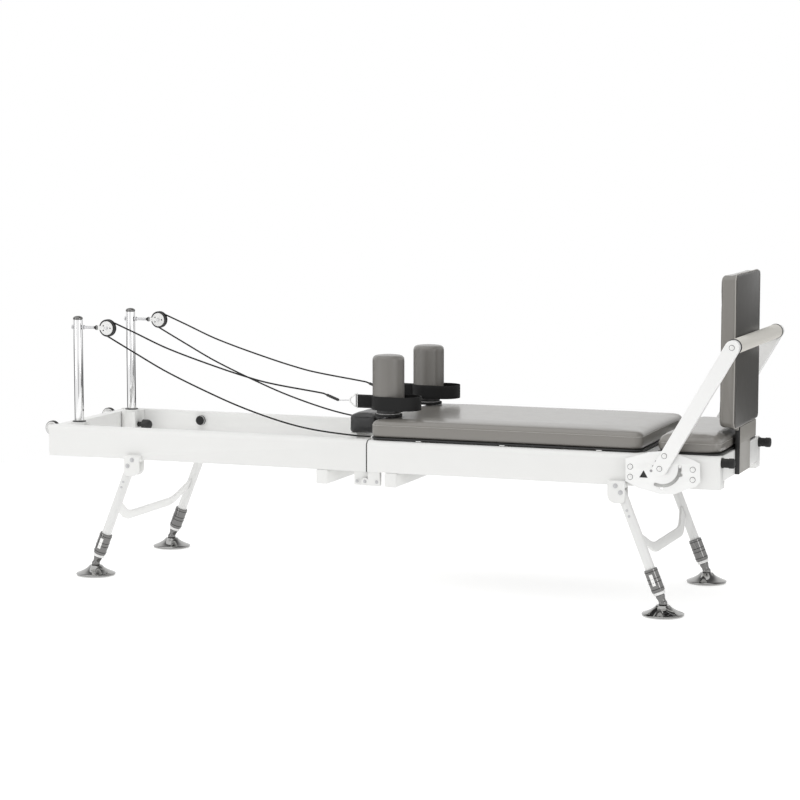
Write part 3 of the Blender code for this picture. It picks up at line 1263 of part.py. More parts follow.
def curve_through(points, step):
    """Points a step apart on the smooth curve through the given points."""
    ends = [2 * points[0] - points[1]] + points + [2 * points[-1] - points[-2]]
    smooth = []
    for before, start, stop, after in zip(ends, ends[1:], ends[2:], ends[3:]):
        length = (stop - start).length
        forward = (stop - before).normalized() * length
        onward = (after - start).normalized() * length
        count = max(1, round(length / step))
        for number in range(count):
            t = number / count
            blend = (2 * t**3 - 3 * t**2 + 1) * start + (t**3 - 2 * t**2 + t) * forward
            blend += (3 * t**2 - 2 * t**3) * stop + (t**3 - t**2) * onward
            smooth.append(blend)
    return smooth + [points[-1]]


def rope_route(side):
    """A rope's own points: from the strap's clamp up to the sheave, round it, and down to the carriage."""
    y = side * POST_Y
    heading = Vector((-CLAMP_LENGTH, 0.0, CLAMP_RISE)).normalized()
    start = Vector((CLAMP_END_X, side * REST_Y, CLAMP_END_Z)) + heading * FIT
    points = [start, start + heading * ROPE_STRAIGHT]
    points += [Vector((x, y, z)) for x, z in ROPE_TOP_ROUTE]
    wrap = arc((PULLEY_X, PULLEY_Z), ROPE_WRAP_RADIUS, ROPE_WRAP_TOP, ROPE_WRAP_BOTTOM, ROPE_WRAP_STEPS)
    points += [Vector((x, y, z)) for x, z in wrap]
    points += [Vector((x, y, z)) for x, z in ROPE_LOW_ROUTE]
    points.append(Vector((CLEAT_X - FIT - ROPE_END_LENGTH, y, ROPE_Z_AT_CLEAT + ROPE_END_RISE)))
    points.append(Vector((CLEAT_X - FIT, y, ROPE_Z_AT_CLEAT)))
    return points


def build_ropes(frame):
    """One rope on each side, as a round tube along its route."""
    for side_name, side in SIDES:
        name = f"rope_{side_name}"
        curve = bpy.data.curves.new(name, "CURVE")
        curve.dimensions = "3D"
        curve.bevel_depth = ROPE_RADIUS
        curve.bevel_resolution = 2
        curve.use_fill_caps = True
        curve.render_resolution_u = 0
        route = curve_through(rope_route(side), ROPE_STEP)
        origin = Vector((PULLEY_X, side * POST_Y, PULLEY_Z))
        line = curve.splines.new("POLY")
        line.points.add(len(route) - 1)
        for point, place in zip(line.points, route):
            point.co = (*(place - origin), 1.0)
        rope = bpy.data.objects.new(name, curve)
        bpy.context.collection.objects.link(rope)
        attach(rope, origin, frame)
        finish(rope, BLACK_WEBBING)


def build_springs(frame):
    """The springs between the carriage and the spring bar, each as its outer cylinder."""
    start = CHASSIS_BACK_X + FIT
    end = SPRING_BAR_X - SPRING_BAR_WIDTH / 2 - FIT
    z = TRACK_TOP + SPRING_BAR_RISE + SPRING_BAR_HEIGHT / 2
    for number in range(SPRING_COUNT):
        y = (number - (SPRING_COUNT - 1) / 2) * SPRING_SPACING
        spring = rod((start, y, z), (end, y, z), SPRING_RADIUS, PIN_ROUND)
        piece(f"spring_{number + 1}", frame, STEEL, spring, origin=(end, y, z))


def slot_outline():
    """The outline of the arc slot that the arm's pin runs in, with a round end at each limit."""
    pivot = (FOOTBAR_PIVOT_X, FOOTBAR_PIVOT_Z)
    half = SLOT_PIN_RADIUS + RUN
    first = arc(pivot, SLOT_RADIUS, SLOT_START, SLOT_START, 1)[0]
    last = arc(pivot, SLOT_RADIUS, SLOT_END, SLOT_END, 1)[0]
    outline = arc(pivot, SLOT_RADIUS + half, SLOT_START, SLOT_END, 12)
    outline += arc(last, half, SLOT_END, SLOT_END - 180.0, 8)[1:-1]
    outline += arc(pivot, SLOT_RADIUS - half, SLOT_END, SLOT_START, 8)
    outline += arc(first, half, SLOT_START + 180.0, SLOT_START, 8)[1:-1]
    return outline


def build_footbar_plates(frame):
    """The hinge plate outside each rail, with its bolts and spacers, window, shaft bore and arc slot."""
    pivot = (FOOTBAR_PIVOT_X, FOOTBAR_PIVOT_Z)
    outline = [(pivot[0] + x, pivot[1] + z) for x, z in PLATE_OUTLINE]
    window_x = pivot[0] + PLATE_WINDOW[0]
    window_z = pivot[1] + PLATE_WINDOW[1]
    window = arc((window_x, window_z), PLATE_WINDOW_SIZE, 90.0, 330.0, 2)
    for side_name, side in SIDES:
        inner = side * PLATE_INNER_Y
        outer = side * PLATE_OUTER_Y
        joins = []
        for x, z in PLATE_BOLTS:
            at = (pivot[0] + x, pivot[1] + z)
            start = (at[0], side * (RAIL_OUTER_Y + FIT), at[1])
            spacer_end = (at[0], side * (PLATE_INNER_Y + SEAT), at[1])
            joins.append(rod(start, spacer_end, PLATE_SPACER_RADIUS, 8))
            head_start = (at[0], side * (PLATE_OUTER_Y - SEAT), at[1])
            head = (at[0], side * (PLATE_OUTER_Y + PLATE_BOLT_PROUD), at[1])
            joins.append(rod(head_start, head, PLATE_BOLT_RADIUS, PIN_ROUND))
        back = side * (PLATE_INNER_Y - OVERSHOOT)
        front = side * (PLATE_OUTER_Y + OVERSHOOT)
        cuts = [prism(slot_outline(), "XZ", back, front), prism(window, "XZ", back, front)]
        shaft = rod((pivot[0], back, pivot[1]), (pivot[0], front, pivot[1]), SHAFT_RADIUS + FIT, ROUND)
        cuts.append(shaft)
        for angle in SLOT_NOTCHES:
            x, z = arc(pivot, SLOT_RADIUS + NOTCH_OFFSET, angle, angle, 1)[0]
            cuts.append(rod((x, back, z), (x, front, z), NOTCH_RADIUS, PIN_ROUND))
        plate = prism(outline, "XZ", inner, outer)
        piece(f"footbar_plate_{side_name}", frame, WHITE_PAINT, plate, joins, cuts)


def build_footbar(frame):
    """The swinging footbar: two arms on their shafts, each with its lever and pin, and the padded grip."""
    pivot = (FOOTBAR_PIVOT_X, FOOTBAR_PIVOT_Z)
    footbar = body("footbar", (pivot[0], 0.0, pivot[1]), frame)
    stop = arc(pivot, SLOT_RADIUS, SLOT_START, SLOT_START, 1)[0]
    lever_outer = PLATE_INNER_Y - LEVER_CLEARANCE
    lever_inner = lever_outer - LEVER_THICKNESS
    arm_outline = stadium(pivot, (GRIP_X, GRIP_Z), ARM_WIDTH / 2, ARM_WIDTH / 2)
    lever_outline = stadium(pivot, stop, SHAFT_RADIUS + LEVER_WALL, SLOT_PIN_RADIUS + LEVER_WALL, 8)
    for side_name, side in SIDES:
        arm = prism(arm_outline, "XZ", side * ARM_INNER_Y, side * ARM_OUTER_Y)
        shaft_start = (pivot[0], side * (lever_inner + SEAT), pivot[1])
        shaft_end = (pivot[0], side * (ARM_INNER_Y + SHAFT_SEAT), pivot[1])
        shaft = rod(shaft_start, shaft_end, SHAFT_RADIUS)
        lever = prism(lever_outline, "XZ", side * lever_inner, side * lever_outer)
        pin_start = (stop[0], side * (lever_outer - SINK), stop[1])
        pin = rod(pin_start, (stop[0], side * PLATE_OUTER_Y, stop[1]), SLOT_PIN_RADIUS, PIN_ROUND)
        piece(f"footbar_arm_{side_name}", footbar, WHITE_PAINT, arm, [shaft, lever, pin])
    reach = ARM_INNER_Y - FIT
    profile = [(0.0, -reach), (GRIP_RADIUS - GRIP_EDGE, -reach), (GRIP_RADIUS, -reach + GRIP_EDGE)]
    profile += [(radius, -along) for radius, along in reversed(profile)]
    piece("footbar_grip", footbar, BEIGE_FOAM, turned(profile, "Y", (GRIP_X, 0.0, GRIP_Z), FINE_ROUND))


def build_jump_board(frame):
    """The jump board and its bracket, which lifts off the guide on the foot end beam."""
    board_body = body("jump_board", (BRACKET_X, 0.0, GUIDE_TOP), frame)
    half_plate = TONGUE_PLATE_WIDTH / 2
    bar_corner = (BRACKET_X + JOG, -half_plate - JOG, BRACKET_TOP - BRACKET_BAR_HEIGHT)
    bar = block(bar_corner, (BRACKET_BACK_X, BRACKET_BAR_REACH, BRACKET_TOP), BRACKET_BAR_EDGE, 1)
    plate_low = RAIL_TOP - TONGUE_PLATE_DROP
    plate_end = (BRACKET_X + TONGUE_PLATE_THICKNESS, half_plate, BRACKET_TOP - TONGUE_ROOT / 2)
    plate = block((BRACKET_X, -half_plate, plate_low), plate_end)
    half_tongue = TONGUE_WIDTH / 2
    tongue_back = TONGUE_X + TONGUE_THICKNESS
    tongue_top = BRACKET_TOP + TONGUE_RISE
    tongue_corner = (TONGUE_X, -half_tongue, BRACKET_TOP - TONGUE_ROOT)
    tongue = block(tongue_corner, (tongue_back, half_tongue, tongue_top))
    slot_low = plate_low - OVERSHOOT
    slot_top = GUIDE_TOP + FIT
    half_neck = GUIDE_NECK_HALF + FIT
    neck_corner = (BRACKET_X - OVERSHOOT, -half_neck, slot_low)
    neck_slot = block(neck_corner, (GUIDE_NECK_X + SEAT, half_neck, slot_top - JOG / 2))
    half_head = GUIDE_HEAD_HALF + FIT
    head_back = GUIDE_NECK_X + GUIDE_HEAD_DEPTH + FIT
    head_slot = block((GUIDE_NECK_X - FIT, -half_head, slot_low), (head_back, half_head, slot_top))
    cuts = [neck_slot, head_slot]
    piece("jump_board_bracket", board_body, BEIGE_METAL, bar, [plate, tongue], cuts)
    pad = cushion(
        BOARD_HEIGHT,
        BOARD_WIDTH,
        BOARD_THICKNESS,
        BOARD_CORNER,
        BOARD_EDGE_RADIUS,
        BOARD_CROWN,
        PAD_SIDE_DRAW,
        (7, 5, 3),
    )
    upright = Matrix.Rotation(-math.pi / 2, 4, "Y")
    centre = Matrix.Translation((BOARD_BACK_X, 0.0, BOARD_BOTTOM + BOARD_HEIGHT / 2))
    pad = moved(pad, centre @ upright)
    pocket = block(
        (TONGUE_X - FIT, -half_tongue - FIT, BOARD_BOTTOM - OVERSHOOT),
        (tongue_back + FIT, half_tongue + FIT, tongue_top + FIT),
    )
    piece("jump_board_pad", board_body, GREY_VINYL, pad, cuts=[pocket])


def build_reformer():
    """The whole reformer, from its two frame halves outwards."""
    clear_scene()
    root = bpy.data.objects.new("reformer", None)
    bpy.context.collection.objects.link(root)
    root.location = (FOLD_X, 0.0, 0.0)
    PLACES[root.name] = Vector((0.0, 0.0, 0.0))
    foot_frame = body("foot_frame", (0.0, 0.0, 0.0), root)
    pulley_frame = body("pulley_frame", (FOLD_PIVOT_X, 0.0, FOLD_PIVOT_Z), foot_frame)
    frames = {1: foot_frame, -1: pulley_frame}
    build_rails(frames)
    build_cross_members(frames)
    build_legs(frames)
    build_posts(pulley_frame)
    build_transport_wheels(pulley_frame)
    build_foot_end(foot_frame)
    build_carriage(foot_frame)
    build_springs(foot_frame)
    build_ropes(pulley_frame)
    build_footbar_plates(foot_frame)
    build_footbar(foot_frame)
    build_jump_board(foot_frame)


build_reformer()
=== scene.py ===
"""The folding pilates reformer as it looks: finishes, ropes, cushions, straps, springs and fittings."""

import json
import logging
import math
from collections.abc import Callable, Iterator, Sequence
from contextlib import contextmanager
from dataclasses import dataclass
from enum import Enum

import bmesh
import bpy
import numpy as np
from mathutils import Matrix, Vector
from mathutils.bvhtree import BVHTree


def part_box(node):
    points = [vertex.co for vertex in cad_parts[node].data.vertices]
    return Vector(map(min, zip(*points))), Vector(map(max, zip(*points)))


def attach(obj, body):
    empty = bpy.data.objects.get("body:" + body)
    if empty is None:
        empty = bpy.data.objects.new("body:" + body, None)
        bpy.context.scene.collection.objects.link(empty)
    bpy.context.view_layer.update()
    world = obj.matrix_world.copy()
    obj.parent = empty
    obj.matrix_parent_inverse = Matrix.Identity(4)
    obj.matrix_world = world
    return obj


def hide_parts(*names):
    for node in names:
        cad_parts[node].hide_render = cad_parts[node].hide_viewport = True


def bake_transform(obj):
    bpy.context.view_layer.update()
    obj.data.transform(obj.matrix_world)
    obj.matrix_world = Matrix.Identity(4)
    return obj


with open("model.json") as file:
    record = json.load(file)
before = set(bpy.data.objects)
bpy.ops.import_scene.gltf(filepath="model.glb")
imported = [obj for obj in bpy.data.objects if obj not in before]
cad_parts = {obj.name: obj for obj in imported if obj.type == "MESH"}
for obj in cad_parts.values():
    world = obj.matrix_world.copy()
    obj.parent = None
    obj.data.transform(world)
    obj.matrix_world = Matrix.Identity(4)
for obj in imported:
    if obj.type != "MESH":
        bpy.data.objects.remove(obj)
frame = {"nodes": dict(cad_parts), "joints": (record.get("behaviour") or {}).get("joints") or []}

log = logging.getLogger("reformer")

Object = bpy.types.Object
Mesh = bpy.types.Mesh
Tree = bpy.types.NodeTree
Node = bpy.types.Node
Socket = bpy.types.NodeSocket
Edge = bmesh.types.BMEdge
Pair = tuple[float, float]
Profile = Sequence[Pair]

# The fold line is the zero of every X below, as it is on the rails
FOLD_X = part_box("carriage_pad")[0].x
# The smallest radius of a turned piece, at its poles
POLE = 0.0002
# The play that touching pieces keep
GAP = 0.0003
# The pale grey of settled dust
DUST_COLOUR = (0.55, 0.53, 0.50, 1.0)
# Dust lies in smaller patches than the finish's own clouds
DUST_SCALE = 1.7


class Side(Enum):
    """The two sides of the reformer."""

    NEAR = -1
    FAR = 1

    @property
    def label(self) -> str:
        """The side's name in node names."""
        return self.name.lower()


class End(Enum):
    """The two ends of the reformer."""

    FOOT = 1
    PULLEY = -1

    @property
    def label(self) -> str:
        """The end's name in node names."""
        return self.name.lower()


class Grain(Enum):
    """The fine surface of a finish."""

    PEEL = "peel"
    PEBBLE = "pebble"
    PORES = "pores"
    WEAVE = "weave"
    BRAID = "braid"
    BRUSH = "brush"


def at(x: float, y: float, z: float) -> Vector:
    """A place given from the fold line, the middle plane and the floor."""
    return Vector((FOLD_X + x, y, z))


def along(y: float) -> Vector:
    """A step across the reformer."""
    return Vector((0.0, y, 0.0))


def joint_place(name: str) -> Vector:
    """The point on a joint's axis, in the frame.

    Args:
        name: The joint's name.

    Returns:
        Its point.
    """
    for joint in frame["joints"]:
        if joint["name"] == name:
            return Vector(joint["pos_m"])
    raise KeyError(name)


def wire(tree: Tree, kind: str, inputs: dict | None = None, **options: object) -> Node:
    """Add a node, set its options and feed its inputs.

    Args:
        tree: The node tree that gets the node.
        kind: The node's type name.
        inputs: Values or other nodes' outputs, by the input's name or number.
        options: The node's own settings.

    Returns:
        The new node.
    """
    node = tree.nodes.new(kind)
    for option, value in options.items():
        setattr(node, option, value)
    for socket, value in (inputs or {}).items():
        if isinstance(value, Socket):
            tree.links.new(value, node.inputs[socket])
        else:
            node.inputs[socket].default_value = value
    return node


def maths(tree: Tree, operation: str, *values: float | Socket) -> Socket:
    """The output of a math node, with its inputs in order."""
    return wire(tree, "ShaderNodeMath", dict(enumerate(values)), operation=operation).outputs[0]


def clouds(tree: Tree, vector: Socket, scale: Socket, detail: float) -> Socket:
    """The value of a noise texture."""
    inputs = {"Vector": vector, "Scale": scale, "Detail": detail}
    return wire(tree, "ShaderNodeTexNoise", inputs).outputs[0]


def stretched(tree: Tree, *values: float | Socket, **options: object) -> Socket:
    """A value brought from one range to another: value, from low, from high, to low, to high."""
    return wire(tree, "ShaderNodeMapRange", dict(enumerate(values)), **options).outputs[0]


def placed(tree: Tree, group: Tree, vector: Socket, values: dict[str, float]) -> Socket:
    """The output of a shared group, placed in a material with its own values."""
    return wire(tree, "ShaderNodeGroup", {"Vector": vector, **values}, node_tree=group).outputs[0]


def new_group(name: str, inputs: dict[str, float], output: str) -> Tree:
    """Start a shader group with a Vector input, number inputs and one number output.

    Args:
        name: The group's name.
        inputs: Its number inputs and their values.
        output: Its output's name.

    Returns:
        The group's node tree, with its in and out nodes.
    """
    tree = bpy.data.node_groups.new(name, "ShaderNodeTree")
    tree.interface.new_socket(name="Vector", in_out="INPUT", socket_type="NodeSocketVector")
    for label, value in inputs.items():
        socket = tree.interface.new_socket(name=label, in_out="INPUT", socket_type="NodeSocketFloat")
        socket.default_value = value
    tree.interface.new_socket(name=output, in_out="OUTPUT", socket_type="NodeSocketFloat")
    tree.nodes.new("NodeGroupInput").name = "in"
    tree.nodes.new("NodeGroupOutput").name = "out"
    return tree


class SurfaceGroups:
    """The shader groups that the finishes share, each built once."""

    def __init__(self) -> None:
        """Build every group."""
        self.mottle = self._cloud("mottle", {"Scale": 6.0, "Middle": 1.0, "Spread": 0.05}, "Shade", 5.0)
        self.haze = self._cloud("haze", {"Scale": 30.0, "Middle": 0.4, "Spread": 0.1}, "Roughness", 3.0)
        self.dust = self._dust()
        self.crevice = self._crevice()
        self.grains = {
            Grain.PEEL: self._noise_grain("peel_grain", (1.0, 1.0, 1.0)),
            Grain.BRUSH: self._noise_grain("brush_grain", (0.03, 1.0, 1.0)),
            Grain.PEBBLE: self._cell_grain("pebble_grain", 0.9),
            Grain.PORES: self._cell_grain("pore_grain", 0.4),
            Grain.WEAVE: self._thread_grain("weave_grain", 0.0),
            Grain.BRAID: self._thread_grain("braid_grain", 0.6),
        }

    def _cloud(self, name: str, inputs: dict[str, float], output: str, detail: float) -> Tree:
        """Soft clouds round a middle value.

        Args:
            name: The group's name.
            inputs: Its number inputs and their values: Scale, Middle and Spread.
            output: Its output's name.
            detail: The detail of the clouds.

        Returns:
            The group's node tree.
        """
        tree = new_group(name, inputs, output)
        source = tree.nodes["in"].outputs
        swing = maths(tree, "SUBTRACT", clouds(tree, source["Vector"], source["Scale"], detail), 0.5)
        total = maths(tree, "MULTIPLY_ADD", swing, source["Spread"], source["Middle"])
        tree.links.new(total, tree.nodes["out"].inputs[0])
        return tree

    def _dust(self) -> Tree:
        """Fine dust that lies in patches on faces that look up.

        Returns:
            The group's node tree.
        """
        tree = new_group("dust", {"Scale": 9.0, "Amount": 0.1}, "Mask")
        source = tree.nodes["in"].outputs
        patches = stretched(tree, clouds(tree, source["Vector"], source["Scale"], 6.0), 0.42, 0.68)
        normal = wire(tree, "ShaderNodeNewGeometry").outputs["Normal"]
        height = wire(tree, "ShaderNodeSeparateXYZ", {0: normal}).outputs["Z"]
        lying = maths(tree, "MULTIPLY", patches, stretched(tree, height, 0.35, 0.95))
        mask = maths(tree, "MULTIPLY", lying, source["Amount"])
        tree.links.new(mask, tree.nodes["out"].inputs[0])
        return tree

    def _crevice(self) -> Tree:
        """Painted shade: the colour darkens in narrow gaps and inner corners, where less light reaches.

        Returns:
            The group's node tree.
        """
        tree = new_group("crevice", {"Reach": 0.02, "Depth": 0.4}, "Shade")
        source = tree.nodes["in"].outputs
        inputs = {"Distance": source["Reach"]}
        open_share = wire(tree, "ShaderNodeAmbientOcclusion", inputs, samples=6).outputs["AO"]
        closed = stretched(tree, open_share, 0.25, 0.75, 1.0, 0.0)
        left = maths(tree, "SUBTRACT", 1.0, maths(tree, "MULTIPLY", closed, source["Depth"]))
        tree.links.new(left, tree.nodes["out"].inputs[0])
        return tree

    def _noise_grain(self, name: str, stretch: tuple[float, float, float]) -> Tree:
        """A rippled height, drawn out along an axis where the stretch is small.

        Args:
            name: The group's name.
            stretch: The scale along each axis.

        Returns:
            The group's node tree.
        """
        tree = new_group(name, {"Scale": 500.0}, "Height")
        source = tree.nodes["in"].outputs
        drawn = wire(tree, "ShaderNodeMapping", {"Vector": source["Vector"], "Scale": stretch})
        ripples = clouds(tree, drawn.outputs[0], source["Scale"], 2.0)
        tree.links.new(ripples, tree.nodes["out"].inputs[0])
        return tree

    def _cell_grain(self, name: str, evenness: float) -> Tree:
        """Raised cells with creases between them, as on leather cloth or foam.

        Args:
            name: The group's name.
            evenness: The cells' share beside fine noise.

        Returns:
            The group's node tree.
        """
        tree = new_group(name, {"Scale": 600.0}, "Height")
        source = tree.nodes["in"].outputs
        cell_inputs = {"Vector": source["Vector"], "Scale": source["Scale"], "Smoothness": 0.4}
        cells = wire(tree, "ShaderNodeTexVoronoi", cell_inputs, feature="SMOOTH_F1")
        fine = clouds(tree, source["Vector"], source["Scale"], 3.0)
        mixed = wire(tree, "ShaderNodeMix", {0: evenness, 2: fine, 3: cells.outputs["Distance"]})
        raised = maths(tree, "SUBTRACT", 1.0, mixed.outputs[0])
        tree.links.new(raised, tree.nodes["out"].inputs[0])
        return tree

    def _thread_grain(self, name: str, slant: float) -> Tree:
        """Two sets of crossing threads on the piece's own UV map, slanted for a braid.

        Args:
            name: The group's name.
            slant: The threads' turn in radians, or 0 for a square weave.

        Returns:
            The group's node tree.
        """
        tree = new_group(name, {"Scale": 500.0}, "Height")
        source = tree.nodes["in"].outputs
        waves = []
        for way in (-1.0, 1.0):
            turn = (0.0, 0.0, way * slant if slant else (way - 1.0) * math.pi / 4)
            turned_map = wire(tree, "ShaderNodeMapping", {"Vector": source["Vector"], "Rotation": turn})
            wave_inputs = {"Vector": turned_map.outputs[0], "Scale": source["Scale"]}
            threads = wire(tree, "ShaderNodeTexWave", wave_inputs, wave_profile="SIN")
            waves.append(threads.outputs["Fac"])
        tree.links.new(maths(tree, "MAXIMUM", *waves), tree.nodes["out"].inputs[0])
        return tree


@dataclass(frozen=True)
class Finish:
    """One finish of the reformer: its colour, gloss, fine grain, clouding and dust."""

    name: str
    slot: str
    colour: tuple[float, float, float]
    roughness: float
    metallic: float = 0.0
    grain: Grain = Grain.PEEL
    grain_scale: float = 500.0
    grain_height: float = 0.00002
    mottle: float = 0.04
    mottle_scale: float = 7.0
    haze: float = 0.08
    haze_scale: float = 35.0
    dust: float = 0.0
    sheen: float = 0.0
    coat: float = 0.0
    coat_roughness: float = 0.22
    specular: float = 0.5
    # How dark the painted shade in gaps and inner corners is, and how far it reaches
    crevice: float = 0.35
    crevice_reach: float = 0.022

    def material(self, groups: SurfaceGroups) -> bpy.types.Material:
        """Build the finish's node material.

        Args:
            groups: The shader groups that the finishes share.

        Returns:
            The material, ready to be assigned.
        """
        made = bpy.data.materials.new(self.name)
        made.use_nodes = True
        tree = made.node_tree
        shader = tree.nodes["Principled BSDF"]
        places = wire(tree, "ShaderNodeTexCoord")
        place = places.outputs["Object"]
        threads = self.grain in (Grain.WEAVE, Grain.BRAID)
        fine_place = places.outputs["UV"] if threads else place
        mottling = {"Scale": self.mottle_scale, "Middle": 1.0, "Spread": self.mottle}
        shade = placed(tree, groups.mottle, place, mottling)
        # Painted shade: the colour darkens in gaps and inner corners
        gap_shade = placed(tree, groups.crevice, place, {"Reach": self.crevice_reach, "Depth": self.crevice})
        tint = {0: 1.0, 6: (*self.colour, 1.0), 7: maths(tree, "MULTIPLY", shade, gap_shade)}
        tinted = wire(tree, "ShaderNodeMix", tint, data_type="RGBA", blend_type="MULTIPLY")
        dusting = {"Scale": self.mottle_scale * DUST_SCALE, "Amount": self.dust}
        dust = placed(tree, groups.dust, place, dusting)
        settled = {0: dust, 6: tinted.outputs[2], 7: DUST_COLOUR}
        colour = wire(tree, "ShaderNodeMix", settled, data_type="RGBA")
        haze = {"Scale": self.haze_scale, "Middle": self.roughness, "Spread": self.haze}
        gloss = placed(tree, groups.haze, place, haze)
        height = placed(tree, groups.grains[self.grain], fine_place, {"Scale": self.grain_scale})
        relief = {"Strength": 1.0, "Distance": self.grain_height, "Height": height}
        bump = wire(tree, "ShaderNodeBump", relief)
        tree.links.new(colour.outputs[2], shader.inputs["Base Color"])
        tree.links.new(gloss, shader.inputs["Roughness"])
        tree.links.new(bump.outputs[0], shader.inputs["Normal"])
        shader.inputs["Metallic"].default_value = self.metallic
        shader.inputs["Sheen Weight"].default_value = self.sheen
        shader.inputs["Coat Weight"].default_value = self.coat
        shader.inputs["Coat Roughness"].default_value = self.coat_roughness
        shader.inputs["Specular IOR Level"].default_value = self.specular
        return made


WHITE_PAINT = Finish("white_powder_coat", "white_paint", (0.86, 0.86, 0.845), 0.38, dust=0.03)
# The legs' white, a little darker than the frame's same paint, stands for the shade on the round tubes:
# painted shade
SHADED_WHITE_TUBE = Finish("white_tube_coat", "white_paint", (0.79, 0.79, 0.78), 0.30, dust=0.02, coat=0.3)
WHITE_GLOSS = Finish("white_gloss_coat", "white_paint", (0.94, 0.94, 0.93), 0.30, dust=0.02)
WHITE_PLASTIC = Finish("white_moulding", "white_plastic", (0.88, 0.88, 0.87), 0.42, grain_scale=900.0)
BLACK_PLASTIC = Finish("black_moulding", "black_plastic", (0.014, 0.014, 0.014), 0.34, dust=0.04)
BLACK_RUBBER = Finish("black_rubber", "black_rubber", (0.012, 0.012, 0.012), 0.58, dust=0.06, specular=0.35)
BEIGE_PAINT = Finish("greige_paint", "beige_paint", (0.285, 0.272, 0.248), 0.42, dust=0.03)
STITCH = Finish("grey_thread", "black_webbing", (0.10, 0.10, 0.098), 0.6, grain_scale=900.0)
CHROME = Finish(
    "bright_chrome",
    "chrome",
    (0.84, 0.84, 0.845),
    0.07,
    metallic=1.0,
    grain_height=0.0000001,
    haze=0.04,
)
SMOKED_CHROME = Finish(
    "smoked_chrome",
    "chrome",
    (0.36, 0.358, 0.352),
    0.07,
    metallic=1.0,
    grain_height=0.0000002,
)
DARK_CHROME = Finish(
    "dark_chrome",
    "dark_chrome",
    (0.20, 0.198, 0.195),
    0.11,
    metallic=1.0,
    grain_height=0.0000005,
)
STEEL = Finish(
    "zinc_steel",
    "steel",
    (0.56, 0.56, 0.57),
    0.34,
    metallic=1.0,
    grain=Grain.BRUSH,
    grain_scale=900.0,
    grain_height=0.00001,
)
GREY_VINYL = Finish(
    "grey_vinyl",
    "grey_vinyl",
    (0.225, 0.213, 0.195),
    0.32,
    grain=Grain.PEBBLE,
    grain_scale=650.0,
    grain_height=0.00004,
    coat=0.55,
    # A deeper and wider painted shade, which darkens the pads near the parts below them and at their lower
    # edges
    crevice=0.7,
    crevice_reach=0.06,
)
REST_VINYL = Finish(
    "rest_vinyl",
    "grey_vinyl",
    (0.192, 0.183, 0.169),
    0.36,
    grain=Grain.PEBBLE,
    grain_scale=650.0,
    grain_height=0.00004,
    coat=0.3,
)
CHARCOAL_VINYL = Finish(
    "charcoal_vinyl",
    "grey_vinyl",
    (0.072, 0.069, 0.064),
    0.40,
    grain=Grain.PEBBLE,
    grain_scale=650.0,
    grain_height=0.00004,
    coat=0.2,
)
# The piping is a real seam; its grey, lighter than the pads', stands for the highlight along their edges:
# painted highlight
PIPING_HIGHLIGHT_VINYL = Finish(
    "grey_piping",
    "grey_vinyl",
    (0.40, 0.385, 0.36),
    0.42,
    grain=Grain.PEBBLE,
    grain_scale=900.0,
    grain_height=0.00003,
)
BLACK_VINYL = Finish(
    "black_vinyl",
    "black_vinyl",
    (0.022, 0.022, 0.023),
    0.38,
    grain=Grain.PEBBLE,
    grain_scale=650.0,
    grain_height=0.00005,
    dust=0.04,
    coat=0.2,
)
BLACK_WEBBING = Finish(
    "black_webbing",
    "black_webbing",
    (0.009, 0.009, 0.009),
    0.6,
    grain=Grain.WEAVE,
    grain_scale=420.0,
    grain_height=0.0003,
    specular=0.25,
)
BLACK_ROPE = Finish(
    "black_braid",
    "black_rope",
    (0.010, 0.010, 0.010),
    0.6,
    grain=Grain.BRAID,
    grain_scale=380.0,
    grain_height=0.0003,
    specular=0.3,
)
BEIGE_FOAM = Finish(
    "beige_foam",
    "beige_foam",
    (0.66, 0.64, 0.59),
    0.7,
    grain=Grain.PORES,
    grain_scale=800.0,
    grain_height=0.00012,
    sheen=0.05,
    dust=0.04,
)


class Paintbox:
    """Hands out each finish's material, made the first time that it is asked for."""

    def __init__(self) -> None:
        """Build the shared groups and start with no materials."""
        self.groups = SurfaceGroups()
        self.made: dict[str, bpy.types.Material] = {}

    def get(self, finish: Finish) -> bpy.types.Material:
        """The material of a finish.

        Args:
            finish: The finish.

        Returns:
            Its material, the same each time.
        """
        if finish.name not in self.made:
            self.made[finish.name] = finish.material(self.groups)
        return self.made[finish.name]

    def dress(self, piece: Object, finish: Finish, body: str, *replaced: str) -> Object:
        """Give a piece its finish, the body that it rides on and the CAD nodes that it stands for.

        Args:
            piece: The finished mesh, at its place.
            finish: Its finish.
            body: The name of the body that it rides on.
            replaced: The CAD nodes that it stands for.

        Returns:
            The piece.
        """
        piece.data.materials.clear()
        piece.data.materials.append(self.get(finish))
        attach(piece, body)
        if replaced:
            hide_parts(*replaced)
        log.info("%s rides on %s", piece.name, body)
        return piece


def deselect_all() -> None:
    """Deselect every object."""
    bpy.ops.object.select_all(action="DESELECT")


def take(thing: Object) -> None:
    """Select one object alone and make it active.

    Args:
        thing: The object.
    """
    deselect_all()
    thing.select_set(True)
    bpy.context.view_layer.objects.active = thing


def named(name: str) -> Object:
    """Name the active object and its mesh, and put its place into its mesh.

    Args:
        name: The new name.

    Returns:
        The object.
    """
    bpy.ops.object.transform_apply(location=True, rotation=True, scale=True)
    thing = bpy.context.active_object
    thing.name = name
    thing.data.name = name
    return thing


@contextmanager
def editing(thing: Object, mode: str = "VERT") -> Iterator[None]:
    """Edit mode on one piece, with all of it selected.

    Args:
        thing: The piece.
        mode: What is selected: VERT, EDGE or FACE.

    Yields:
        Nothing, while the piece is in edit mode.
    """
    take(thing)
    bpy.ops.object.mode_set(mode="EDIT")
    bpy.ops.mesh.select_mode(type=mode)
    bpy.ops.mesh.select_all(action="SELECT")
    yield
    bpy.ops.object.mode_set(mode="OBJECT")


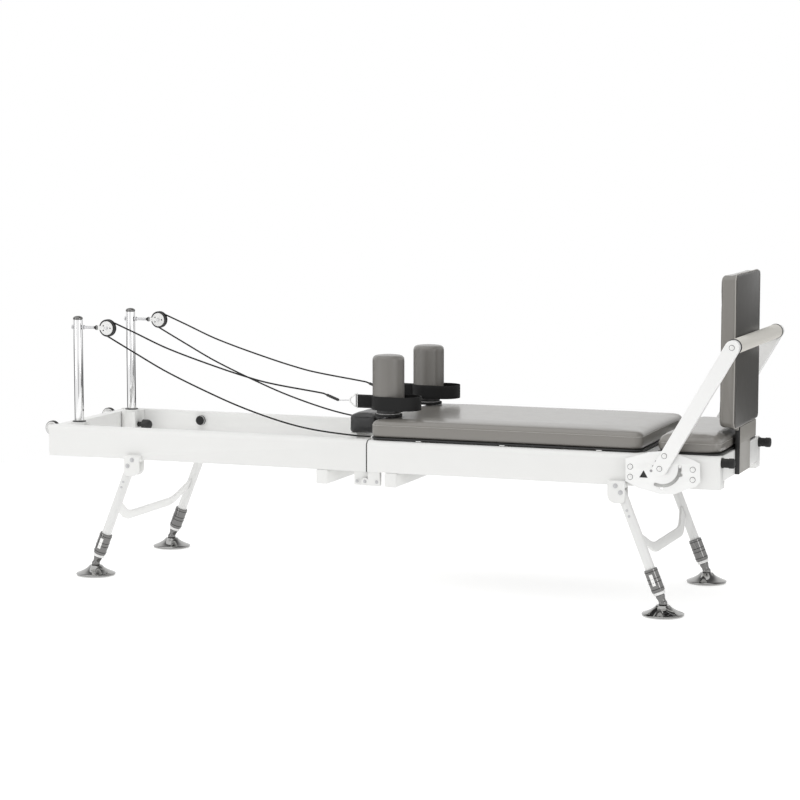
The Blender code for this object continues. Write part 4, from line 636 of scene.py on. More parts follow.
def pick(thing: Object, kind: str, test: Callable[[Edge], bool]) -> None:
    """Select, in edit mode, only the verts, edges or faces that pass a test.

    Args:
        thing: The piece.
        kind: Which of the three.
        test: Whether one of them is wanted.
    """
    bpy.ops.mesh.select_all(action="DESELECT")
    shape = bmesh.from_edit_mesh(thing.data)
    for part in getattr(shape, kind):
        part.select_set(test(part))
    shape.select_flush_mode()
    bmesh.update_edit_mesh(thing.data)


def apply_modifiers(thing: Object) -> None:
    """Apply every modifier of a piece, in order.

    Args:
        thing: The piece.
    """
    take(thing)
    for modifier in list(thing.modifiers):
        bpy.ops.object.modifier_apply(modifier=modifier.name)


def smooth(thing: Object, angle: float = 35.0) -> Object:
    """Shade a piece smooth, with edges above an angle left sharp.

    Args:
        thing: The piece.
        angle: The angle, in degrees.

    Returns:
        The piece.
    """
    take(thing)
    bpy.ops.object.shade_smooth_by_angle(angle=math.radians(angle))
    return thing


def round_edges(thing: Object, width: float, segments: int = 2, angle: float = 40.0) -> Object:
    """Round a piece's sharp edges with a bevel, and shade it smooth.

    Args:
        thing: The piece.
        width: The bevel's width.
        segments: The number of faces across it.
        angle: The least angle of an edge that is rounded, in degrees.

    Returns:
        The piece.
    """
    bevel = thing.modifiers.new("rounding", "BEVEL")
    bevel.width = width
    bevel.segments = segments
    bevel.limit_method = "ANGLE"
    bevel.angle_limit = math.radians(angle)
    bevel.use_clamp_overlap = True
    apply_modifiers(thing)
    return smooth(thing)


def fuse(base: Object, extras: Sequence[Object], operation: str = "UNION") -> Object:
    """Join other shapes to a piece, or cut them out of it, and take them away.

    Args:
        base: The piece.
        extras: The other shapes.
        operation: UNION or DIFFERENCE.

    Returns:
        The piece.
    """
    for extra in extras:
        tool = base.modifiers.new(extra.name, "BOOLEAN")
        tool.operation = operation
        tool.solver = "EXACT"
        tool.object = extra
    apply_modifiers(base)
    for extra in extras:
        bpy.data.objects.remove(extra)
    return base


AXES = {
    "X": Matrix.Rotation(math.pi / 2, 4, "Y"),
    "Y": Matrix.Rotation(-math.pi / 2, 4, "X"),
    "Z": Matrix.Identity(4),
}


def put(thing: Object, place: Vector, axis: str = "Z", tilt: float = 0.0) -> Object:
    """Move a piece that was made at the origin to its place.

    Args:
        thing: A piece whose own axis is Z.
        place: Where its origin goes.
        axis: The axis that its Z goes to.
        tilt: A turn about Y after that, in radians.

    Returns:
        The piece, with its place in its mesh.
    """
    thing.data.transform(Matrix.Translation(place) @ Matrix.Rotation(tilt, 4, "Y") @ AXES[axis])
    return thing


class PatternShelf:
    """Keeps the mesh of each repeated shape, modelled once at the origin, and hands out copies."""

    def __init__(self) -> None:
        """Start with an empty shelf."""
        self.patterns: dict[tuple, Mesh] = {}

    def copy(self, name: str, key: tuple, model: Callable[[], Object]) -> Object:
        """Copy a pattern, which is modelled the first time that it is asked for.

        Args:
            name: The new piece's name.
            key: What tells this shape from all others.
            model: Models the shape.

        Returns:
            The piece, at the origin, with its own mesh.
        """
        if key not in self.patterns:
            first = model()
            self.patterns[key] = first.data
            bpy.data.objects.remove(first)
        mesh = self.patterns[key].copy()
        mesh.name = name
        thing = bpy.data.objects.new(name, mesh)
        bpy.context.scene.collection.objects.link(thing)
        return thing

    def clear(self) -> None:
        """Take the patterns away."""
        for mesh in self.patterns.values():
            bpy.data.meshes.remove(mesh)
        self.patterns.clear()


shelf = PatternShelf()


def turned(name: str, profile: Profile, sides: int = 48, ring: bool = False) -> Object:
    """A turned piece about Z, copied from its pattern.

    Args:
        name: The piece's name.
        profile: Radius and height pairs, from one end to the other.
        sides: The number of faces round it.
        ring: Whether the profile closes on itself, as a ring's does.

    Returns:
        The piece, at the origin.
    """
    key = ("turned", tuple(profile), sides, ring)
    return shelf.copy(name, key, lambda: turn_pattern(profile, sides, ring))


def turn_pattern(profile: Profile, sides: int, ring: bool) -> Object:
    """Turn a shape about Z from a circle, by extruding and scaling it along its profile.

    Args:
        profile: Radius and height pairs, from one end to the other.
        sides: The number of faces round it.
        ring: Whether the profile closes on itself.

    Returns:
        The shape, at the origin.
    """
    deselect_all()
    first = max(profile[0][0], POLE)
    fill = "NOTHING" if ring else "NGON"
    start = (0, 0, profile[0][1])
    bpy.ops.mesh.primitive_circle_add(vertices=sides, radius=first, fill_type=fill, location=start)
    thing = named("turned_pattern")
    loop = list(profile) + ([profile[0]] if ring else [])
    with editing(thing):
        for (radius, height), (next_radius, next_height) in zip(loop, loop[1:]):
            rise = {"value": (0.0, 0.0, next_height - height)}
            bpy.ops.mesh.extrude_region_move(TRANSFORM_OT_translate=rise)
            share = max(next_radius, POLE) / max(radius, POLE)
            bpy.ops.transform.resize(value=(share, share, 1.0), center_override=(0.0, 0.0, next_height))
        bpy.ops.mesh.select_all(action="SELECT")
        bpy.ops.mesh.remove_doubles(threshold=0.000001)
        bpy.ops.mesh.normals_make_consistent(inside=False)
    return smooth(thing)


def arc(centre: Pair, radius: float, start: float, end: float, steps: int) -> list[Pair]:
    """Points on an arc, from the start angle to the end angle in degrees."""
    angles = [math.radians(start + (end - start) * step / steps) for step in range(steps + 1)]
    return [(centre[0] + radius * math.cos(a), centre[1] + radius * math.sin(a)) for a in angles]


def disc_profile(radius: float, low: float, high: float, edge: float) -> list[Pair]:
    """The profile of a solid disc or bar with rounded edges."""
    profile = [(0.0, low)] + arc((radius - edge, low + edge), edge, -90.0, 0.0, 3)
    return profile + arc((radius - edge, high - edge), edge, 0.0, 90.0, 3) + [(0.0, high)]


def ring_profile(inner: float, outer: float, low: float, high: float, edge: float) -> list[Pair]:
    """The closed profile of a ring with rounded outer edges."""
    profile = [(inner, low)] + arc((outer - edge, low + edge), edge, -90.0, 0.0, 3)
    return profile + arc((outer - edge, high - edge), edge, 0.0, 90.0, 3) + [(inner, high)]


@dataclass(frozen=True)
class BoltHead:
    """A domed bolt head with a hexagon socket; the last three sizes are shares of its radius or height."""

    radius: float
    height: float
    sides: int
    dome: float
    socket_radius: float
    socket_floor: float

    def copy(self, name: str) -> Object:
        """A copy of the head, on the origin and facing up."""
        return shelf.copy(name, ("bolt_head", self), self._model)

    def _model(self) -> Object:
        """Turn the head and cut its socket.

        Returns:
            The head, on the origin.
        """
        edge = self.height * self.dome
        head = turned("head_pattern", disc_profile(self.radius, 0.0, self.height, edge), self.sides)
        across = self.radius * self.socket_radius
        ends = (self.height * self.socket_floor, self.height * 2.0)
        socket = turned("socket", [(across, level) for level in ends], 6)
        return smooth(fuse(head, [socket], "DIFFERENCE"))


def block(name: str, low: Vector, high: Vector, edge: float = 0.0015, segments: int = 2) -> Object:
    """A box between two corners with rounded edges.

    Args:
        name: The box's name.
        low: One corner.
        high: The opposite corner.
        edge: The width of the rounding.
        segments: The number of faces across it.

    Returns:
        The box.
    """
    corners = (Vector(map(min, low, high)), Vector(map(max, low, high)))
    deselect_all()
    middle = (corners[0] + corners[1]) / 2
    bpy.ops.mesh.primitive_cube_add(size=1.0, location=middle, scale=corners[1] - corners[0])
    thing = named(name)
    with editing(thing):
        bpy.ops.mesh.bevel(offset=edge, segments=segments, affect="EDGES")
    return smooth(thing)


def bare(node: str, name: str) -> Object:
    """A copy of a CAD node with its loose triangles merged into flat faces.

    Args:
        node: The CAD node.
        name: The new piece's name.

    Returns:
        The copy, at its place.
    """
    thing = bpy.data.objects.new(name, frame["nodes"][node].data.copy())
    bpy.context.scene.collection.objects.link(thing)
    with editing(thing):
        bpy.ops.mesh.remove_doubles(threshold=0.00001)
        bpy.ops.mesh.dissolve_limited(angle_limit=math.radians(1.0))
        bpy.ops.mesh.normals_make_consistent(inside=False)
    return thing


def refined(node: str, name: str, edge: float = 0.0012, segments: int = 2) -> Object:
    """A copy of a CAD node with its sharp edges rounded."""
    return round_edges(bare(node, name), edge, segments)


def tube(
    name: str,
    points: Sequence[Vector],
    radius: float,
    closed: bool = False,
    sides: int = 3,
) -> Object:
    """A round tube along points, as a mesh with its UV map in metres.

    Args:
        name: The piece's name.
        points: The points of its centreline.
        radius: The tube's radius.
        closed: Whether it runs back into itself.
        sides: The curve's bevel resolution.

    Returns:
        The tube.
    """
    curve = bpy.data.curves.new(name, "CURVE")
    curve.dimensions = "3D"
    curve.bevel_depth = radius
    curve.bevel_resolution = sides
    curve.use_fill_caps = not closed
    line = curve.splines.new("POLY")
    line.points.add(len(points) - 1)
    line.use_cyclic_u = closed
    for point, place in zip(line.points, points):
        point.co = (*place, 1.0)
    thing = bpy.data.objects.new(name, curve)
    bpy.context.scene.collection.objects.link(thing)
    take(thing)
    bpy.ops.object.convert(target="MESH")
    thing = bpy.context.active_object
    thing.name = name
    thing.data.name = name
    length = sum((b - a).length for a, b in zip(points, points[1:]))
    for layer in thing.data.uv_layers:
        for corner in layer.data:
            corner.uv = (corner.uv[0] * length, corner.uv[1] * math.tau * radius)
    return smooth(thing, 60.0)


def curve_through(points: list[Vector], step: float) -> list[Vector]:
    """Points a step apart on the smooth curve through the given points.

    Args:
        points: The given points, in order.
        step: The distance between new points.

    Returns:
        The new points, from the first given point to the last.
    """
    ends = [2 * points[0] - points[1]] + points + [2 * points[-1] - points[-2]]
    line = []
    for before, start, stop, after in zip(ends, ends[1:], ends[2:], ends[3:]):
        length = (stop - start).length
        forward = (stop - before).normalized() * length
        onward = (after - start).normalized() * length
        count = max(1, round(length / step))
        for number in range(count):
            t = number / count
            blend = (2 * t**3 - 3 * t**2 + 1) * start + (t**3 - 2 * t**2 + t) * forward
            line.append(blend + (3 * t**2 - 2 * t**3) * stop + (t**3 - t**2) * onward)
    return line + [points[-1]]


@dataclass
class Studio:
    """The camera at the photograph's angle, the pale floor, the sky and the soft lamps."""

    eye: tuple[float, float, float] = (2.8269, -7.5418, 1.5203)
    azimuth: float = 20.512
    pitch: float = 6.410
    lens: float = 107.45
    floor_radius: float = 3.4
    floor_glow: float = 0.72
    horizon: Profile = ((0.0, 1.0), (0.12, 0.6), (0.2, 1.0), (0.62, 1.0), (0.68, 0.45), (0.74, 1.0))
    below: Profile = (
        (0.0, 0.35),
        (0.03, 1.0),
        (0.27, 1.0),
        (0.3, 0.3),
        (0.315, 0.3),
        (0.34, 1.0),
        (0.5, 0.9),
        (0.56, 0.7),
        (0.61, 0.05),
        (0.97, 0.05),
    )
    sun_energy: float = 1.25
    sun_spread: float = 75.0
    sun_way: tuple[float, float, float] = (0.2, 0.22, -1.0)
    aim: tuple[float, float, float] = (0.0, 0.0, 0.6)

    def build(self) -> None:
        """Make the camera, the floor, the sky and the lamps."""
        self._camera()
        self._floor()
        self._sky()
        self._overhead()
        self._softbox("left_softbox", Vector((-3.4, -3.6, 1.6)), (0.45, 2.6), 16.0)
        self._softbox("right_softbox", Vector((4.6, -2.2, 1.5)), (0.6, 2.4), 17.0)
        bpy.context.scene.view_settings.view_transform = "Standard"
        log.info("studio is ready")

    def _camera(self) -> None:
        """Place the camera where the photograph's outlines put it."""
        data = bpy.data.cameras.new("camera")
        data.sensor_width = 36.0
        data.lens = self.lens
        data.clip_end = 100.0
        camera = bpy.data.objects.new("camera", data)
        bpy.context.scene.collection.objects.link(camera)
        turn = math.radians(self.azimuth)
        drop = math.radians(self.pitch)
        ahead = Vector((-math.sin(turn) * math.cos(drop), math.cos(turn) * math.cos(drop), -math.sin(drop)))
        camera.location = at(*self.eye)
        camera.rotation_mode = "QUATERNION"
        camera.rotation_quaternion = ahead.to_track_quat("-Z", "Y")
        bpy.context.scene.camera = camera

    def _floor(self) -> None:
        """A round pale floor, a little lit from within, that keeps the object's faint shadow."""
        deselect_all()
        size = self.floor_radius
        bpy.ops.mesh.primitive_circle_add(vertices=96, radius=size, fill_type="NGON", location=(0, 0, -GAP))
        floor = named("floor")
        paint = bpy.data.materials.new("floor_paint")
        paint.use_nodes = True
        shader = paint.node_tree.nodes["Principled BSDF"]
        shader.inputs["Base Color"].default_value = (0.45, 0.45, 0.45, 1.0)
        shader.inputs["Roughness"].default_value = 0.9
        shader.inputs["Specular IOR Level"].default_value = 0.1
        shader.inputs["Emission Color"].default_value = (1.0, 1.0, 0.995, 1.0)
        shader.inputs["Emission Strength"].default_value = self.floor_glow
        floor.data.materials.append(paint)

    def _sky(self) -> None:
        """A white backdrop, and a soft light with darker parts for metal and vinyl to show."""
        world = bpy.data.worlds.new("sky")
        bpy.context.scene.world = world
        world.use_nodes = True
        tree = world.node_tree
        tree.nodes.clear()
        way = wire(tree, "ShaderNodeTexCoord").outputs["Generated"]
        x, y, z = wire(tree, "ShaderNodeSeparateXYZ", {0: way}).outputs
        share = stretched(tree, maths(tree, "ARCTAN2", y, x), -math.pi, math.pi)
        level = self._ramp(tree, share, self.horizon)
        low = self._ramp(tree, share, self.below)
        ceiling = stretched(tree, z, 0.55, 0.85, interpolation_type="SMOOTHSTEP")
        upper = wire(tree, "ShaderNodeMix", {0: ceiling, 2: level, 3: 0.16})
        under = stretched(tree, z, 0.02, -0.04, interpolation_type="SMOOTHSTEP")
        mirrored = wire(tree, "ShaderNodeMix", {0: under, 2: upper.outputs[0], 3: low})
        fall = stretched(tree, x, -1.0, 1.0, 0.60, 0.52)
        path = wire(tree, "ShaderNodeLightPath")
        seen = wire(tree, "ShaderNodeBackground", {"Color": (1.0, 1.0, 1.0, 1.0), "Strength": 1.0})
        shiny = wire(tree, "ShaderNodeBackground", {"Color": mirrored.outputs[0], "Strength": 1.0})
        soft = wire(tree, "ShaderNodeBackground", {"Color": fall, "Strength": 1.0})
        last = soft.outputs[0]
        rays = (("Is Glossy Ray", shiny), ("Is Transmission Ray", seen), ("Is Camera Ray", seen))
        for ray, background in rays:
            inputs = {0: path.outputs[ray], 1: last, 2: background.outputs[0]}
            last = wire(tree, "ShaderNodeMixShader", inputs).outputs[0]
        wire(tree, "ShaderNodeOutputWorld", {0: last})

    def _ramp(self, tree: Tree, share: Socket, stops: Profile) -> Socket:
        """Grey values round the horizon, by the share of a full turn.

        Args:
            tree: The sky's node tree.
            share: The bearing, from 0 to 1 round the full turn.
            stops: The share and the grey of each stop.

        Returns:
            The ramp's output.
        """
        ramp = wire(tree, "ShaderNodeValToRGB", {0: share})
        ramp.color_ramp.interpolation = "EASE"
        elements = ramp.color_ramp.elements
        elements.remove(elements[-1])
        elements[0].position = stops[0][0]
        elements[0].color = (stops[0][1],) * 3 + (1.0,)
        for position, grey in stops[1:]:
            elements.new(position).color = (grey, grey, grey, 1.0)
        return wire(tree, "ShaderNodeRGBToBW", {0: ramp.outputs[0]}).outputs[0]

    def _overhead(self) -> None:
        """A wide soft light from above, a little from the front and the left."""
        data = bpy.data.lights.new("overhead", "SUN")
        data.energy = self.sun_energy
        data.angle = math.radians(self.sun_spread)
        lamp = bpy.data.objects.new("overhead", data)
        bpy.context.scene.collection.objects.link(lamp)
        lamp.rotation_mode = "QUATERNION"
        lamp.rotation_quaternion = Vector(self.sun_way).to_track_quat("-Z", "Y")

    def _softbox(self, name: str, place: Vector, size: Pair, power: float) -> None:
        """A tall soft lamp that looks at the middle of the object.

        Args:
            name: The lamp's name.
            place: Where it stands.
            size: Its width and height.
            power: Its power in watts.
        """
        data = bpy.data.lights.new(name, "AREA")
        data.shape = "RECTANGLE"
        data.size, data.size_y = size
        data.energy = power
        lamp = bpy.data.objects.new(name, data)
        bpy.context.scene.collection.objects.link(lamp)
        lamp.location = place
        lamp.rotation_mode = "QUATERNION"
        lamp.rotation_quaternion = (Vector(self.aim) - place).to_track_quat("-Z", "Y")


@dataclass
class Ropes:
    """The two ropes, each from a strap's clamp over its sheave and down to the carriage's cleat."""

    paints: Paintbox
    radius: float = 0.00275
    rest_y: float = 0.196
    post_y: float = 0.200
    clamp_end: Pair = (-0.1828, 0.64655)
    clamp_way: Pair = (-0.044, 0.0165)
    straight: float = 0.012
    top_route: Profile = (
        (-0.355, 0.673),
        (-0.4335, 0.687),
        (-0.572, 0.723),
        (-0.767, 0.783),
        (-0.898, 0.836),
    )
    wrap_radius: float = 0.02595
    wrap_from: float = 68.0
    wrap_to: float = 241.0
    low_route: Profile = (
        (-0.899, 0.767),
        (-0.768, 0.701),
        (-0.573, 0.621),
        (-0.4605, 0.582),
        (-0.330, 0.546),
        (-0.225, 0.527),
    )
    cleat: Profile = ((-0.0803, 0.51445), (-0.0203, 0.51345))
    step: float = 0.010
    stretch_from: float = -0.965
    stretch_to: float = -0.190

    def route(self, side: Side) -> list[Vector]:
        """A rope's centreline, from the clamp to the cleat.

        Args:
            side: The rope's side.

        Returns:
            Its points, a step apart.
        """
        y = side.value * self.post_y
        heading = Vector((self.clamp_way[0], 0.0, self.clamp_way[1])).normalized()
        start = at(self.clamp_end[0], side.value * self.rest_y, self.clamp_end[1]) + heading * GAP
        sheave = joint_place(f"sheave_{side.label}_spin")
        wrap = arc((sheave.x, sheave.z), self.wrap_radius, self.wrap_from, self.wrap_to, 12)
        points = [start, start + heading * self.straight]
        points += [at(x, y, z) for x, z in self.top_route]
        points += [Vector((x, y, z)) for x, z in wrap]
        points += [at(x, y, z) for x, z in (*self.low_route, *self.cleat)]
        return curve_through(points, self.step)

    def build(self) -> None:
        for side in Side:
            route = self.route(side)
            rope = tube(f"rope_braid_{side.label}", route, self.radius)
            rope.data.materials.clear()
            rope.data.materials.append(self.paints.get(BLACK_ROPE))
            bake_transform(rope)
            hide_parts(f"rope_{side.label}")


@dataclass
class Cushion:
    """A foam pad on a board under stretched vinyl, made lying flat and then put in its place."""

    name: str
    node: str
    finish: Finish
    body: str
    corner: float
    edge: float
    crown: float
    upright: bool = False
    lean: float = 0.0
    draw: float = 0.0025
    voxel: float = 0.005
    cap: float = 0.0035
    pressure: float = 4.0
    held_height: float = 0.003
    seam_at_top: float = 0.0
    seam_radius: float = 0.0
    board: float = 0.0

    def __post_init__(self) -> None:
        """Read the pad's size and place from its CAD solid."""
        low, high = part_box(self.node)
        size = high - low
        if self.upright:
            self.length, self.width, self.height = size.z, size.y, size.x
            turn = Matrix.Rotation(-math.pi / 2, 4, "Y")
            self.place = Matrix.Translation((high.x, (low.y + high.y) / 2, (low.z + high.z) / 2)) @ turn
        else:
            self.length, self.width, self.height = size
            self.place = Matrix.Translation(((low.x + high.x) / 2, (low.y + high.y) / 2, low.z))

    def build(self, paints: Paintbox) -> Object:
        """Shape, swell, seam and place the pad.

        Args:
            paints: The finishes.

        Returns:
            The pad.
        """
        pad = self._core()
        self._crown(pad)
        self._swell(pad)
        if self.seam_radius:
            seam = self._seam(pad)
            seam.data.transform(self.place)
            # The grey pads' piping takes the lighter grey of the painted edge highlight
            paints.dress(seam, PIPING_HIGHLIGHT_VINYL if self.finish is GREY_VINYL else self.finish, self.body)
        # The base board is real; its black also stands for the shadow in the gap under the pad: painted
        # shadow
        if self.board:
            board = self.slab(f"{self.name}_board", 0.004, 0.0, self.board + GAP)
            paints.dress(board, BLACK_PLASTIC, self.body)
        pad.data.transform(self.place)
        paints.dress(pad, self.finish, self.body, self.node)
        return pad

    def slab(self, name: str, inset: float, low: float, high: float) -> Object:
        """A thin flat slab with the pad's corners, in the pad's place.

        Args:
            name: The slab's name.
            inset: How far its sides stay inside the pad's.
            low: Its lower face, from the pad's base.
            high: Its upper face, from the pad's base.

        Returns:
            The slab.
        """
        deselect_all()
        size = (self.length - 2 * inset, self.width - 2 * inset, high - low)
        bpy.ops.mesh.primitive_cube_add(size=1.0, location=(0.0, 0.0, (low + high) / 2), scale=size)
        slab = named(name)
        with editing(slab, "EDGE"):
            pick(slab, "edges", lambda edge: abs(edge.verts[0].co.z - edge.verts[1].co.z) > size[2] / 2)
            bpy.ops.mesh.bevel(offset=max(self.corner - inset, 0.004), segments=8, affect="EDGES")
        slab.data.transform(self.place)
        return round_edges(slab, 0.0006, 2, 60.0)

    def _core(self) -> Object:
        """The pad's block with its corners and edges rounded, remeshed evenly.

        Returns:
            The pad, lying flat at the origin.
        """
        shrink = 0.0012
        top = self.height - shrink
        low = self.board
        size = (self.length - 2 * shrink, self.width - 2 * shrink, top - low)
        deselect_all()
        bpy.ops.mesh.primitive_cube_add(size=1.0, location=(0.0, 0.0, (top + low) / 2), scale=size)
        pad = named(self.name)
        with editing(pad, "EDGE"):
            pick(pad, "edges", lambda edge: abs(edge.verts[0].co.z - edge.verts[1].co.z) > top / 2)
            bpy.ops.mesh.bevel(offset=self.corner, segments=8, affect="EDGES")
            pick(pad, "edges", lambda edge: min(vert.co.z for vert in edge.verts) > top - GAP)
            bpy.ops.mesh.bevel(offset=self.edge, segments=6, affect="EDGES")
            pick(pad, "edges", lambda edge: max(vert.co.z for vert in edge.verts) < low + GAP)
            bpy.ops.mesh.bevel(offset=self.edge * 0.75, segments=5, affect="EDGES")
        pad.data.remesh_voxel_size = self.voxel
        take(pad)
        bpy.ops.object.voxel_remesh()
        with editing(pad):
            bpy.ops.mesh.vertices_smooth(factor=0.5, repeat=4)
        return smooth(pad, 180.0)

    def _crown(self, pad: Object) -> None:
        """Crown the top, draw the sides in between the corners, and lean the head end back.

        Args:
            pad: The pad, lying flat.
        """
        for vert in pad.data.vertices:
            x, y, z = vert.co
            across_x = max(0.0, 1.0 - (2.0 * x / self.length) ** 2)
            across_y = max(0.0, 1.0 - (2.0 * y / self.width) ** 2)
            rise = max(0.0, z / self.height)
            belly = 4.0 * rise * (1.0 - rise)
            z -= self.crown * rise * (1.0 - min(1.0, 1.6 * across_x) * min(1.0, 1.6 * across_y))
            y -= math.copysign(self.draw * belly * across_x * (1.0 - across_y), y)
            x -= math.copysign(self.draw * belly * across_y * (1.0 - across_x), x)
            if self.lean and x > 0.0:
                x -= self.lean * (2.0 * x / self.length) * rise
            vert.co = (x, y, z)

    def _swell(self, pad: Object) -> None:
        """Let the stuffing press the vinyl out a little, with the base held and the swelling capped.

        Args:
            pad: The pad, lying flat.
        """
        held = pad.vertex_groups.new(name="held")
        base = [vert.index for vert in pad.data.vertices if vert.co.z < self.board + self.held_height]
        held.add(base, 1.0, "REPLACE")
        rest = np.array([vert.co for vert in pad.data.vertices])
        cloth = pad.modifiers.new("swelling", "CLOTH")
        settings = cloth.settings
        settings.use_pressure = True
        settings.uniform_pressure_force = self.pressure
        settings.effector_weights.gravity = 0.0
        settings.vertex_group_mass = "held"
        settings.quality = 4
        cloth.point_cache.frame_start = 1
        cloth.point_cache.frame_end = 20
        scene = bpy.context.scene
        for number in range(1, 21):
            scene.frame_set(number)
        apply_modifiers(pad)
        moved = np.array([vert.co for vert in pad.data.vertices])
        shift = moved - rest
        reach = np.linalg.norm(shift, axis=1)
        shift *= np.minimum(1.0, self.cap / np.maximum(reach, 1e-9))[:, None]
        settled = rest + shift
        settled[:, 2] = np.clip(settled[:, 2], self.board, self.height + 0.001)
        for vert, place in zip(pad.data.vertices, settled):
            vert.co = place
        scene.frame_set(1)
        with editing(pad):
            bpy.ops.mesh.vertices_smooth(factor=0.5, repeat=2)
        smooth(pad, 180.0)

    def _seam(self, pad: Object) -> Object:
        """The piping round the pad, laid on its skin at the seam's height.

        Args:
            pad: The pad, lying flat.

        Returns:
            The piping, lying flat.
        """
        tree = BVHTree.FromObject(pad, bpy.context.evaluated_depsgraph_get())
        half = (self.length / 2 - self.corner, self.width / 2 - self.corner)
        level = self.height - self.seam_at_top
        points = []
        for number, (sign_x, sign_y) in enumerate(((1, 1), (-1, 1), (-1, -1), (1, -1))):
            centre = (sign_x * half[0], sign_y * half[1])
            turn = arc(centre, self.corner, 90.0 * number, 90.0 * (number + 1), 6)
            points += [Vector((x, y, level)) for x, y in turn]
        path = []
        for start, stop in zip(points, points[1:] + points[:1]):
            steps = max(1, round((stop - start).length / 0.02))
            path += [start.lerp(stop, step / steps) for step in range(steps)]
        laid = []
        for point in path:
            found, normal, _, _ = tree.find_nearest(point)
            laid.append(found + normal * self.seam_radius * 0.2)
        return tube(f"{self.name}_piping", laid, self.seam_radius, closed=True, sides=2)


@dataclass
class FrameHalf:
    """One half of the folding frame: its rails, end beam, cross tube and their small fittings."""

    paints: Paintbox
    end: End
    rail_outer_y: float = 0.296
    bolt_radius: float = 0.0075
    bolt_height: float = 0.0022
    leg_bolts: Profile = ((0.867, 0.389), (0.850, 0.410))
    fold_bolt_radius: float = 0.0055
    fold_bolt_z: float = 0.3755
    # Thickness and lower edge of the black sheet that paints the shadow in the fold's gap
    seal_thickness: float = 0.0034
    seal_low: float = 0.034

    @property
    def body(self) -> str:
        """The body that this half is."""
        return f"{self.end.label}_frame"

    def build(self) -> None:
        """Make the rails with their bolts, and dress the beam and the cross tube."""
        beam = refined(f"{self.end.label}_end_beam", f"{self.end.label}_beam", 0.001)
        self.paints.dress(beam, WHITE_PAINT, self.body, f"{self.end.label}_end_beam")
        cross = refined(f"{self.end.label}_cross_tube", f"{self.end.label}_crossbar", 0.001)
        self.paints.dress(cross, WHITE_PAINT, self.body, f"{self.end.label}_cross_tube")
        for side in Side:
            node = f"{self.end.label}_rail_{side.label}"
            rail = refined(node, f"{node}_profile", 0.0012)
            self.paints.dress(rail, WHITE_PAINT, self.body, node)
            self._leg_bolts(side)
            self._fold_bolts(side)
            # The pulley half's rails carry the painted shadow of the fold's gap, a thin black sheet
            if self.end is End.PULLEY:
                self._fold_seal(node, side)

    def _bolt(self, name: str, place: Vector, side: Side, radius: float) -> None:
        """A domed bolt head on a face that looks out of the side.

        Args:
            name: The bolt's name.
            place: The middle of its seat.
            side: The side that it looks out of.
            radius: The head's radius.
        """
        head = put(BoltHead(radius, self.bolt_height, 24, 0.6, 0.45, 0.3).copy(name), Vector(), "Y")
        if side is Side.NEAR:
            head.data.transform(Matrix.Rotation(math.pi, 4, "Z"))
        head.data.transform(Matrix.Translation(place))
        self.paints.dress(head, STEEL, self.body)

    def _fold_seal(self, node: str, side: Side) -> None:
        """A thin black sheet on the rail's folding end, cut from the rail's own shape, that stands for the
        shadow in the fold's gap: painted shadow.

        Args:
            node: The rail's CAD node.
            side: The rail's side.
        """
        gap_shadow_sheet = refined(node, f"fold_seal_{side.label}", 0.0001)
        end_x = max(vert.co.x for vert in gap_shadow_sheet.data.vertices)
        floor_z = joint_place("frame_fold").z + self.seal_low
        cuts = (((FOLD_X - self.seal_thickness, 0, 0), (1, 0, 0)), ((0, 0, floor_z), (0, 0, 1)))
        with editing(gap_shadow_sheet):
            for place, way in cuts:
                bpy.ops.mesh.bisect(plane_co=place, plane_no=way, use_fill=True, clear_inner=True)
                bpy.ops.mesh.select_all(action="SELECT")
            bpy.ops.mesh.normals_make_consistent(inside=False)
            centre = (end_x, side.value * (self.rail_outer_y - 0.0225), floor_z + 0.052)
            bpy.ops.transform.resize(value=(1.0, 1.016, 1.008), center_override=centre)
        self.paints.dress(smooth(gap_shadow_sheet), BLACK_RUBBER, self.body)

    def _leg_bolts(self, side: Side) -> None:
        """The two bolts of a leg's bracket.

        Args:
            side: The leg's side.
        """
        face = side.value * (self.rail_outer_y + 0.0225)
        for number, (x, z) in enumerate(self.leg_bolts):
            name = f"{self.end.label}_leg_bolt_{side.label}_{number + 1}"
            self._bolt(name, at(self.end.value * x, face, z), side, self.bolt_radius)

    def _fold_bolts(self, side: Side) -> None:
        """The bolts of the fold hinge's leaf.

        Args:
            side: The hinge's side.
        """
        face = side.value * (self.rail_outer_y - 0.006)
        places = (-0.010, 0.032) if self.end is End.FOOT else (-0.037,)
        for number, x in enumerate(places):
            name = f"{self.end.label}_fold_bolt_{side.label}_{number + 1}"
            self._bolt(name, at(x, face, self.fold_bolt_z), side, self.fold_bolt_radius)


